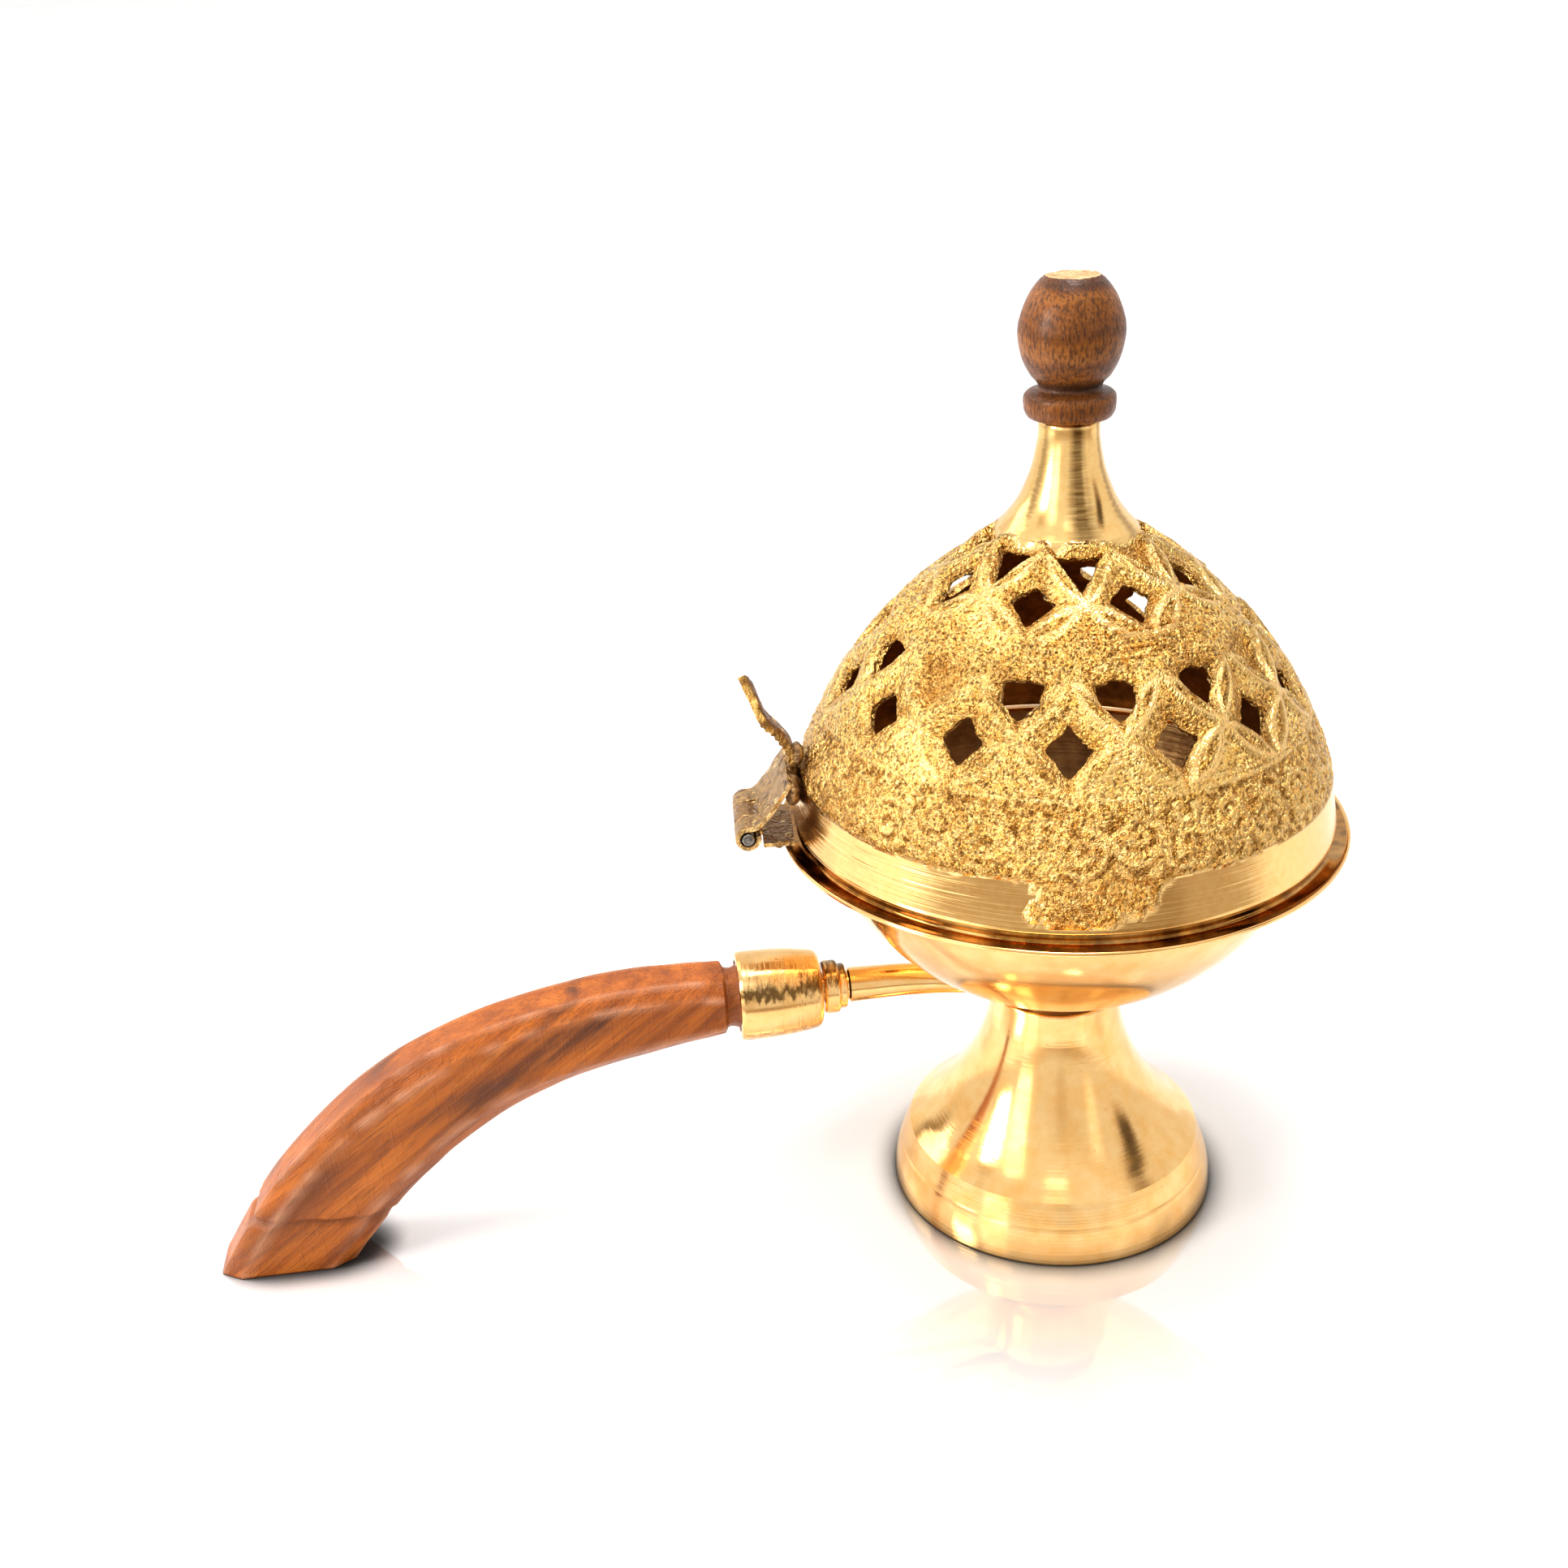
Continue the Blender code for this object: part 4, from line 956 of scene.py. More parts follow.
def boundary_loops(faces, skip):
    """Closed chains of edges that have one face, leaving out edges between vertices in skip."""
    seen = {}
    for f in faces:
        for a, b in zip(f, f[1:] + f[:1]):
            if (b, a) in seen:
                del seen[(b, a)]
            else:
                seen[(a, b)] = True
    nxt = {}
    for a, b in seen:
        if a in skip and b in skip:
            continue
        nxt.setdefault(a, []).append(b)
    loops = []
    while nxt:
        a = next(iter(nxt))
        loop = [a]
        b = nxt[a].pop()
        if not nxt[a]:
            del nxt[a]
        while b != loop[0]:
            loop.append(b)
            c = nxt[b].pop()
            if not nxt[b]:
                del nxt[b]
            b = c
        loops.append(loop)
    return loops


def rows_between(z0, z1, step):
    a, b = float(s_of(z0)), float(s_of(z1))
    return list(np.linspace(a, b, max(2, int(round((b - a) / step)) + 1)))


def zipper(A, B, place):
    """Triangles between two closed chains of vertices that run the same way."""
    pa, pb = np.array([place[q] for q in A]), np.array([place[q] for q in B])
    k = int(np.argmin(((pb - pa[0]) ** 2).sum(1)))
    B = B[k:] + B[:k]
    pb = np.roll(pb, -k, axis=0)

    def lengths(p):
        d = np.sqrt(((np.roll(p, -1, axis=0) - p) ** 2).sum(1))
        return np.r_[0, np.cumsum(d)] / max(d.sum(), 1e-9)
    ta, tb = lengths(pa), lengths(pb)
    i = j = 0
    out = []
    while i < len(A) or j < len(B):
        if j >= len(B) or (i < len(A) and ta[i + 1] <= tb[j + 1]):
            out.append((A[i % len(A)], A[(i + 1) % len(A)], B[j % len(B)]))
            i += 1
        else:
            out.append((A[i % len(A)], B[(j + 1) % len(B)], B[j % len(B)]))
            j += 1
    return out


def build_lid():
    sh = Shell()
    fine = 0.36
    cols = 720
    low = np.array([0.0, 0.12, 0.3, 0.5] + rows_between(80.0, 87.2, 0.8) + rows_between(87.45, 120.7, fine))
    mid = np.array(rows_between(120.7, 131.4, fine))[1:]
    top = np.array(rows_between(131.4, 148.3, 0.55))[1:]
    a0, a1, p1 = sh.sheet(low, cols, 0)
    b0, b1, p2 = sh.sheet(mid, cols // 2, 0)
    c0, c1, p3 = sh.sheet(top, cols // 4, 0)
    sh.between(a1, b0, 0)
    sh.between(b1, c0, 0)
    n_outer = len(sh.f)
    low = np.array(rows_between(80.2, 98.6, 1.5) + rows_between(99.3, 120.7, 0.72))
    mid = np.array(rows_between(120.7, 131.4, 0.72))[1:]
    top = np.array(rows_between(131.4, 135.8, 0.8))[1:]
    d0, d1, p4 = sh.sheet(low, cols // 2, 1, inner=True)
    e0, e1, p5 = sh.sheet(mid, cols // 4, 1, inner=True)
    f0, f1, p6 = sh.sheet(top, cols // 8, 1, inner=True)
    sh.between(d1, e0, 1)
    sh.between(e1, f0, 1)
    n_inner = len(sh.f)

    def ring(r, z, n):
        a = np.arange(n) * math.tau / n
        i0 = sh.add(np.c_[AXIS_X + r * np.cos(a), r * np.sin(a), np.full(n, z)], np.tile([1.0, 0.0, 0.0], (n, 1)))
        return list(range(i0, i0 + n))
    foot_ring = ring(45.55, 79.25, cols // 2)
    foot_edge = ring(45.75, 79.0, cols // 2)
    sh.between(a0, foot_edge, 0)
    sh.between(foot_edge, foot_ring, 0)
    sh.between(foot_ring, d0, 1)
    last = f1
    for r, z in ((4.3, 137.6), (3.4, 138.6), (3.4, 145.3), (1.7, 145.3), (1.7, 148.3)):
        nxt = ring(r, z, cols // 8)
        sh.between(last, nxt, 1)
        last = nxt
    sh.between(last, c1, 0)
    place = {}
    for p in (p1, p2, p3, p4, p5, p6):
        for q, (az, s) in p.items():
            r = float(rz(s)[0])
            place[q] = (az, s, r)

    def chains(faces, known):
        seen = {}
        for f in faces:
            for a, b in zip(f, f[1:] + f[:1]):
                if a in known and b in known:
                    if (b, a) in seen:
                        del seen[(b, a)]
                    else:
                        seen[(a, b)] = True
        nxt = {}
        for a, b in seen:
            nxt.setdefault(a, []).append(b)
        loops = []
        while nxt:
            a = next(iter(nxt))
            loop, b = [a], nxt[a].pop()
            if not nxt[a]:
                del nxt[a]
            while b != a:
                loop.append(b)
                c = nxt[b].pop()
                if not nxt[b]:
                    del nxt[b]
                b = c
            loops.append(loop)
        return loops

    outer_known = set(p1) | set(p2) | set(p3)
    inner_known = set(p4) | set(p5) | set(p6)
    lo = chains(sh.f[:n_outer], outer_known)
    li = chains(sh.f[n_outer:n_inner], inner_known)

    def centre(loop):
        az = np.radians([place[q][0] for q in loop])
        s = np.mean([place[q][1] for q in loop])
        r = np.mean([place[q][2] for q in loop])
        m = math.atan2(np.sin(az).mean(), np.cos(az).mean())
        return np.array([r * math.cos(m), r * math.sin(m), s])
    ci = [centre(x) for x in li]
    used = set()
    for A in lo:
        ca = centre(A)
        k = min((q for q in range(len(li)) if q not in used), key=lambda q: float(((ci[q] - ca) ** 2).sum()))
        used.add(k)
        flat = {}
        for q in A + li[k]:
            az, s, r = place[q]
            w = math.radians((az - math.degrees(math.atan2(ca[1], ca[0])) + 180) % 360 - 180)
            flat[q] = (w * r, s)
        for t in zipper(A, li[k], flat):
            sh.face(t, 0)
    for k in range(len(li)):
        if k not in used:
            sh.face(tuple(li[k][::-1]), 1)
    v = np.concatenate(sh.v)
    rel = np.concatenate(sh.rel)
    return piece("lid_casting", v, sh.f, ["cast", "inner"], "lid", ["lid_dome"], index=sh.idx, sharp=42.0, relief=rel)


lid = build_lid()


def closed_report(ob):
    bm = bmesh.new()
    bm.from_mesh(ob.data)
    bad = sum(1 for e in bm.edges if not e.is_manifold)
    print("mesh", ob.name, "faces", len(bm.faces), "open edges", bad, "volume mm3", round(bm.calc_volume() * 1e9, 1))
    bm.free()


# ================================================================== knob
BALL = [(4.2, 171.3), (5.15, 170.5), (6.8, 168.4), (8.05, 165.6), (8.65, 162.8), (8.45, 160.2), (7.7, 157.7), (6.6, 155.6), (5.6, 154.5), (5.25, 153.8)]
ball = spline(BALL, 7)
top_face = [(0.0, 170.95), (1.0, 170.98), (2.0, 171.02), (2.8, 171.06), (3.5, 171.12), (4.05, 171.18)]
ringp = rounded([(5.25, 153.8), (5.5, 153.25), (6.9, 152.9), (7.5, 152.3), (7.6, 151.2), (7.45, 149.8), (6.9, 148.75), (1.7, 148.75)],
                keep=(0, 7), r=0.45, n=4)
prof = top_face + ball[1:] + ringp[1:] + [(1.7, 163.0), (0.0, 163.0)]
mat_ids = [1] * (len(top_face)) + [0] * (len(prof) - len(top_face) - 1)
v, f, idx = revolve(prof, 112, closed=False, mats=mat_ids)
outer = (v[:, 2] > 148.8) & (np.hypot(v[:, 0], v[:, 1]) > 1.8)
rr = np.hypot(v[:, 0], v[:, 1])
n_xy = v[:, :2] / np.maximum(rr, 1e-6)[:, None]
bite = 0.07 * fbm(v, 0.35, 3, 21) + 0.035 * fbm(v * np.array([1, 1, 0.35]), 2.2, 2, 22)
tops = v[:, 2] > 170.6
v[:, :2] += n_xy * (np.where(outer & ~tops, bite - 0.08, 0.0))[:, None]
v[:, 2] += np.where(tops, 0.16 * fbm(v, 0.9, 3, 23) - 0.20, 0.0)
v[:, 2] = np.minimum(v[:, 2], 171.28)
dark = np.clip(0.85 * np.exp(-((v[:, 2] - 154.2) / 1.0) ** 2) + 0.65 * np.exp(-((v[:, 2] - 170.2) / 0.9) ** 2) * (rr > 4.4), 0, 1)
piece("knob_turning", on_axis(v), f, ["knob", "end"], "lid", ["knob"], index=idx, sharp=50.0, relief=np.c_[dark * 0, dark, dark * 0])

# ================================================================== bowl
BOWL_R, BOWL_CZ, BOWL_WALL = 45.9, 89.5, 1.6


def sphere_r(radius, z):
    return math.sqrt(max(radius ** 2 - (BOWL_CZ - z) ** 2, 0.0))


def arc(radius, r0, r1, n):
    a0, a1 = math.asin(r0 / radius), math.asin(r1 / radius)
    return [(radius * math.sin(a0 + (a1 - a0) * i / n), BOWL_CZ - radius * math.cos(a0 + (a1 - a0) * i / n)) for i in range(n + 1)]


inner_r = BOWL_R - BOWL_WALL
lip = spline([(46.62, 78.35), (46.75, 77.5), (47.15, 77.12), (48.2, 77.04), (49.2, 77.18), (49.72, 77.42), (49.97, 77.2), (49.97, 76.85),
              (49.55, 76.52), (47.5, 76.08), (45.6, 75.6), (44.3, 74.6)], 5)
lip = [(min(r, 49.98), z) for r, z in lip]
prof = ([(sphere_r(inner_r, 78.7), 78.62), (44.1, 78.7), (46.3, 78.7), (46.52, 78.62)] + lip
        + arc(BOWL_R, sphere_r(BOWL_R, 73.6), 2.3, 46) + arc(inner_r, 2.3, sphere_r(inner_r, 78.3), 46))
n_out = 4 + len(lip) + 46
v, f, idx = revolve(prof, 220, mats=[0] * n_out + [1] * (len(prof) - n_out))
rr = np.hypot(v[:, 0], v[:, 1])
scale = 1 + np.where(rr > 40, 0, 1) * 0.0
heat = np.exp(-(((np.degrees(np.arctan2(v[:, 1], v[:, 0])) - HINGE_AZ + 180) % 360 - 180) / 16.0) ** 2)
# The lip's top under the lid's edge is darkened with painted shade together with brown oxide. The heat term is a heat
# tint near the hinge.
lip_shade_and_oxide = sstep(rr, 45.9, 46.3) * (1 - sstep(rr, 49.15, 49.55)) * (v[:, 2] > 76.7)
brown = np.clip(lip_shade_and_oxide * (0.9 + 0.25 * vnoise(v, 0.12, 101)) + heat * sstep(rr, 43.0, 47.0) * 0.8, 0, 1)
piece("bowl_spinning", on_axis(v), f, ["bowl", "inner"], "base", ["bowl"], index=idx, sharp=38.0,
      relief=np.c_[brown, brown * 0, brown * 0])

# ================================================================== foot
stem = spline([(12.0, 41.1), (12.15, 38.0), (12.7, 34.5), (13.9, 30.3), (15.7, 26.0), (18.1, 21.8), (21.0, 17.9), (24.2, 14.4), (27.4, 11.7)], 7)
band = spline([(27.4, 11.7), (28.5, 8.8), (29.5, 6.0), (30.15, 3.4), (30.4, 0.35)], 7)
band = [(r - 0.07 * math.exp(-((z - 7.2) / 0.16) ** 2), z) for r, z in band]
inside = [(r, z) for r, z in offset_line(stem + band[1:], 1.8) if 0.8 < z < 38.0]
prof = ([(11.55, 41.5), (11.85, 41.38)] + stem + band[1:] + [(30.36, 0.12), (30.2, 0.0), (28.6, 0.0)] + inside[::-1]
        + [(10.35, 39.0), (2.3, 39.0), (2.3, 41.5)])
n_out = 2 + len(stem) + len(band) - 1 + 2
v, f, idx = revolve(prof, 200, mats=[0] * n_out + [1] * (len(prof) - n_out))
piece("foot_bell", on_axis(v), f, ["foot", "inner"], "base", ["foot"], index=idx, sharp=14.0)

# ================================================================== screws, washer and nut
def screw_set():
    w = rounded([(2.3, 46.65), (5.0, 46.65), (5.0, 45.85), (2.3, 45.85)], keep=(), r=0.15, n=3)
    v, f, _ = revolve(w, 64)
    piece("pressed_washer", on_axis(v), f, ["steel"], "base", ["centre_washer"], sharp=40)
    head = [(0, 49.15), (1.2, 49.12), (2.2, 48.95), (3.0, 48.62), (3.5, 48.15), (3.7, 47.6), (3.7, 47.1), (3.6, 46.96), (1.9, 46.95), (1.9, 33.6), (1.5, 33.0), (0, 33.0)]
    v, f, _ = revolve(head, 64, closed=False)
    ob = piece("slotted_screw", on_axis(v), f, ["steel"], "base", ["centre_screw"], sharp=40)
    me = bpy.data.meshes.new("slot_tool")
    bm = bmesh.new()
    bmesh.ops.create_cube(bm, size=1.0)
    bmesh.ops.scale(bm, vec=(0.009, 0.0009, 0.0022), verts=bm.verts)
    bmesh.ops.translate(bm, vec=(AXIS_X * 0.001, 0, 0.0490), verts=bm.verts)
    bm.to_mesh(me)
    bm.free()
    tool = bpy.data.objects.new("slot_tool", me)
    bpy.context.scene.collection.objects.link(tool)
    cut(ob, tool)
    # hexagon nut with its corners turned off
    v, f, _ = revolve(rounded([(2.25, 38.7), (3.9, 38.7), (4.04, 38.4), (4.04, 36.0), (3.9, 35.7), (2.25, 35.7)], keep=(), r=0.12, n=2), 96)
    a = np.arctan2(v[:, 1], v[:, 0])
    hexr = 3.5 / np.cos((a + math.pi / 6) % (math.pi / 3) - math.pi / 6)
    rr = np.hypot(v[:, 0], v[:, 1])
    k = np.where(rr > 3.0, np.minimum(rr, hexr) / np.maximum(rr, 1e-6), 1.0)
    v[:, :2] *= k[:, None]
    piece("hex_nut", on_axis(v), f, ["steel"], "base", ["foot_nut"], sharp=25)
    ks = [(0, 162.0), (0.6, 161.2), (1.35, 159.5), (1.35, 145.0), (2.7, 145.0), (2.7, 143.8), (1.6, 143.1), (0, 142.9)]
    v, f, _ = revolve(ks, 40, closed=False)
    piece("wood_screw", on_axis(v), f, ["steel"], "lid", ["knob_screw"], sharp=40)


def cut(ob, tool, op="DIFFERENCE"):
    """Apply an exact Boolean to ob and remove the tool."""
    m = ob.modifiers.new("cut", "BOOLEAN")
    m.operation, m.solver, m.object = op, "EXACT", tool
    bpy.context.view_layer.update()
    dg = bpy.context.evaluated_depsgraph_get()
    me = bpy.data.meshes.new_from_object(ob.evaluated_get(dg))
    ob.modifiers.clear()
    ob.data = me
    me.set_sharp_from_angle(angle=math.radians(35))
    bpy.data.objects.remove(tool, do_unlink=True)


screw_set()

# ================================================================== rod, collar, ferrule
def rod():
    st = [(3.2, 42.55, 4.6, 0.62), (8.5, 42.57, 4.4, 0.66), (12.0, 42.85, 3.9, 0.95), (15.0, 43.55, 3.5, 1.6), (18.5, 44.6, 3.1, 2.4),
          (23.0, 45.4, 3.0, 2.85), (28.0, 45.8, 3.0, 3.0), (34.0, ROD_Z, 3.15, 3.15), (39.0, ROD_Z, 3.3, 3.3)]
    u = np.array([s[0] for s in st])
    fine = np.linspace(3.2, 39.0, 90)
    cols = [np.interp(fine, u, [s[k] for s in st]) for k in (1, 2, 3)]
    for c in cols:      # ease the joints between stations
        for _ in range(6):
            c[1:-1] = (c[:-2] + c[1:-1] * 2 + c[2:]) / 4
    rings = list(zip(fine, *cols)) + [(39.3, ROD_Z, 2.6, 2.6), (54.6, ROD_Z, 2.6, 2.6), (55.4, ROD_Z, 2.0, 2.0)]
    seg = 48
    a = np.arange(seg) * math.tau / seg
    verts, faces = [], []
    for uu, z, w, h in rings:
        p = np.c_[np.full(seg, AXIS_X - uu), w * np.cos(a), z + h * np.sin(a)]
        if uu < 39.2:
            nrm = np.c_[np.zeros(seg), np.cos(a), np.sin(a)]
            p = p + nrm * (0.06 * fbm(p, 0.16, 2, 31) - 0.04)[:, None]
        verts.append(p)
    n = len(rings)
    verts = np.concatenate(verts)
    for i in range(n - 1):
        for j in range(seg):
            k = (j + 1) % seg
            faces.append((i * seg + j, i * seg + k, (i + 1) * seg + k, (i + 1) * seg + j))
    faces.append(tuple(range(seg))[::-1])
    faces.append(tuple((n - 1) * seg + j for j in range(seg)))
    ob = piece("drawn_rod", verts, faces, ["rod"], "base", ["handle_rod"], sharp=35)
    for name, r, z0, z1, op in (("eye_tool", 7.45, 41.83, 43.27, "UNION"), ("hole_tool", 2.3, 39.0, 46.0, "DIFFERENCE")):
        me = bpy.data.meshes.new(name)
        bm = bmesh.new()
        bmesh.ops.create_cone(bm, cap_ends=True, segments=64, radius1=r * 0.001, radius2=r * 0.001, depth=(z1 - z0) * 0.001,
                              matrix=Matrix.Translation((AXIS_X * 0.001, 0, (z0 + z1) * 0.0005)))
        bm.to_mesh(me)
        bm.free()
        tool = bpy.data.objects.new(name, me)
        bpy.context.scene.collection.objects.link(tool)
        cut(ob, tool, op)


rod()
collar_p = rounded([(2.9, 44.0), (4.55, 44.0), (4.9, 43.6), (4.9, 41.5), (4.62, 41.15), (4.15, 40.95), (4.15, 40.0), (3.9, 39.7), (2.9, 39.7)],
                   keep=(), r=0.2, n=3)
v, f, _ = revolve(collar_p, 96)
piece("turned_collar", along_handle(v), f, ["ferrule"], "base", ["rod_collar"], sharp=30)
barrel = spline([(8.02, 59.35), (8.18, 58.6), (8.16, 55.5), (8.0, 51.5), (7.62, 48.2), (7.2, 45.6), (6.75, 44.85), (6.3, 44.55)], 5)
fer = ([(6.6, 59.7), (7.6, 59.7), (7.88, 59.6)] + barrel + [(5.9, 44.5), (2.9, 44.5), (2.9, 47.3), (6.6, 47.3)])
v, f, _ = revolve(fer, 128)
piece("ferrule_barrel", along_handle(v), f, ["ferrule"], "base", ["ferrule"], sharp=35)

# ================================================================== wooden handle
def wooden_handle():
    back = spline([(62.5, 51.6), (70.0, 52.0), (84.0, 51.5), (99.0, 48.8), (111.5, 45.0), (124.0, 38.9), (137.0, 28.9), (147.6, 17.9),
                   (155.0, 7.3), (159.5, 0.0)], 10)
    belly = spline([(134.6, 0.0), (130.8, 4.9), (123.9, 13.0), (117.1, 19.5), (110.4, 24.8), (98.0, 32.0), (85.8, 36.3), (70.8, 39.3),
                    (62.5, 40.3)], 10)[::-1]
    n = 190
    B, E = np.array(back), np.array(belly)

    def at(p, t):
        d = np.r_[0, np.cumsum(np.hypot(*(p[1:] - p[:-1]).T))]
        d /= d[-1]
        return np.c_[np.interp(t, d, p[:, 0]), np.interp(t, d, p[:, 1])]
    t = np.linspace(0, 1, n)
    b, e = at(B, t), at(E, t)
    rings, rel = [], []

    def section(half_v, half_w, cv, cw, nflat=9, nside=8, ncham=4):
        pts = [(half_v, half_w - cw), (half_v - cv, half_w), (-(half_v - cv), half_w), (-half_v, half_w - cw),
               (-half_v, -(half_w - cw)), (-(half_v - cv), -half_w), (half_v - cv, -half_w), (half_v, -(half_w - cw))]
        counts = [ncham, nside, ncham, nflat, ncham, nside, ncham, nflat]
        out, edge = [], []
        for i in range(8):
            p, q = np.array(pts[i]), np.array(pts[(i + 1) % 8])
            L = np.hypot(*(q - p))
            u = (q - p) / L
            nrm = np.array([u[1], -u[0]])
            if np.dot(nrm, (p + q) / 2) < 0:
                nrm = -nrm
            ease = min(0.20, L * 0.2)
            ts = np.r_[ease, np.linspace(ease, L - ease, counts[i])[1:-1], L - ease]
            prev = np.array(pts[i - 1])
            bis = p / np.hypot(*p)
            out.append(p - bis * 0.05)
            edge.append(1.0)
            for x in ts:
                w = x / L
                crown = 0.05 * (4 * w * (1 - w)) * min(L / 6, 1)
                out.append(p + u * x + nrm * crown * 0.6)
                edge.append(0.75 if x in (ts[0], ts[-1]) else 0.0)
        return np.array(out), np.array(edge)

    for i in range(n):
        c = (b[i] + e[i]) / 2
        h = np.hypot(*(b[i] - e[i])) / 2
        vdir = (b[i] - e[i]) / (2 * h)
        wob = float(vnoise(np.array([[c[0], c[1], 0.0]]), 0.05, 41)[0])
        cham = 2.4 + 0.35 * wob
        slant = max(abs(vdir[1]), 0.55)
        sec, edge = section(h, 6.6, min(cham / slant * 0.92, h * 0.48), cham)
        p = np.c_[AXIS_X - (c[0] + vdir[0] * sec[:, 0]), sec[:, 1], c[1] + vdir[1] * sec[:, 0]]
        out = np.c_[-vdir[0] * sec[:, 0] / h, sec[:, 1] / 6.6, vdir[1] * sec[:, 0] / h]
        out /= np.linalg.norm(out, axis=1)[:, None]
        uu = AXIS_X - p[:, 0]
        plane = 10.4 + (uu - 126.5) * (1.1 / 25.0) + 0.35 * vnoise(p, 0.35, 42)
        d = p[:, 2] - plane
        v_cut = np.clip(1 - np.abs(d) / np.where(d > 0, 0.65, 1.5), 0, 1)
        at_back = sstep(sec[:, 0] / h, 0.55, 0.95)
        depth = v_cut * (0.62 + 0.75 * at_back) * (0.85 + 0.3 * vnoise(p, 0.6, 43))
        chips = 0.22 * sstep(vnoise(p, 0.75, 44), 0.25, 0.7) * np.exp(-(d / 2.2) ** 2)
        near_end = sstep(uu, 66.0, 62.8)
        facets = 0.10 * vnoise(p, 0.22, 45) + 0.12 * vnoise(p, 0.06, 46)
        disp = facets * 0.8 - 0.14 - depth - chips - near_end * (0.25 + 0.35 * vnoise(p, 0.5, 47))
        if i > n - 4:
            disp = disp * (n - 1 - i) / 3.0 - (0.02 if i < n - 1 else 0.30)
        q = p + out * disp[:, None]
        if i == n - 1:
            q[:, 2] = 0.0
        q[:, 2] = np.maximum(q[:, 2], 0.0 if i == n - 1 else 0.04)
        q[:, 0] = np.maximum(q[:, 0], -104.72)
        rings.append(q)
        # The third relief channel marks the chamfer edges for the painted highlight.
        rel.append(np.c_[np.zeros(len(q)), np.clip(v_cut * 1.1 + chips, 0, 1) + near_end * 0.35, edge * (0.5 + 0.5 * vnoise(p, 0.3, 48))])
    m = len(rings[0])
    # shoulder down to the round tenon
    first = rings[0]
    ang = np.arctan2(first[:, 2] - ROD_Z, first[:, 1])
    pre, prel = [], []
    for u, r, mix in ((62.2, 5.6, 0.45), (61.9, 5.35, 0.85), (61.3, 5.35, 1.0), (60.5, 5.5, 1.0), (59.9, 5.75, 1.0), (59.4, 6.1, 1.0), (54.0, 6.2, 1.0), (48.6, 6.2, 1.0), (48.2, 5.8, 1.0)):
        ring = np.c_[np.full(m, AXIS_X - u), r * np.cos(ang), ROD_Z + r * np.sin(ang)]
        ring = first * (1 - mix) + ring * mix
        ring[:, 0] = AXIS_X - u
        if u > 59.6:
            k = 0.16 * vnoise(ring, 0.7, 49) + 0.10 * vnoise(ring, 1.9, 50)
            ring[:, 1] += np.cos(ang) * k
            ring[:, 2] += np.sin(ang) * k
        pre.append(ring)
        prel.append(np.c_[np.zeros(m), np.full(m, 0.9), np.zeros(m)])
    rings = pre[::-1] + rings
    rel = prel[::-1] + rel
    verts = np.concatenate(rings)
    rl = np.clip(np.concatenate(rel), 0, 1)
    faces = []
    for i in range(len(rings) - 1):
        for j in range(m):
            k = (j + 1) % m
            faces.append((i * m + j, i * m + k, (i + 1) * m + k, (i + 1) * m + j))
    c0, c1 = len(verts), len(verts) + 1
    verts = np.concatenate([verts, [rings[0].mean(0)], [rings[-1].mean(0)]])
    rl = np.concatenate([rl, [[0, 0.9, 0]], [[0, 0, 0]]])
    o = (len(rings) - 1) * m
    for j in range(m):
        k = (j + 1) % m
        faces.append((j, k, c0))
        faces.append((o + j, o + k, c1))
    return piece("carved_handle", verts, faces, ["wood"], "base", ["wooden_handle"], sharp=17.0, relief=rl)


wooden_handle()

# ================================================================== hinge
KT = KNUCKLE_R - KNUCKLE_BORE
WRAP_R = (KNUCKLE_BORE + KNUCKLE_R) / 2


def wrap(a0, a1, n):
    return [(PIN_U + WRAP_R * math.cos(math.radians(a0 + (a1 - a0) * i / n)), PIN_Z + WRAP_R * math.sin(math.radians(a0 + (a1 - a0) * i / n)))
            for i in range(n + 1)]


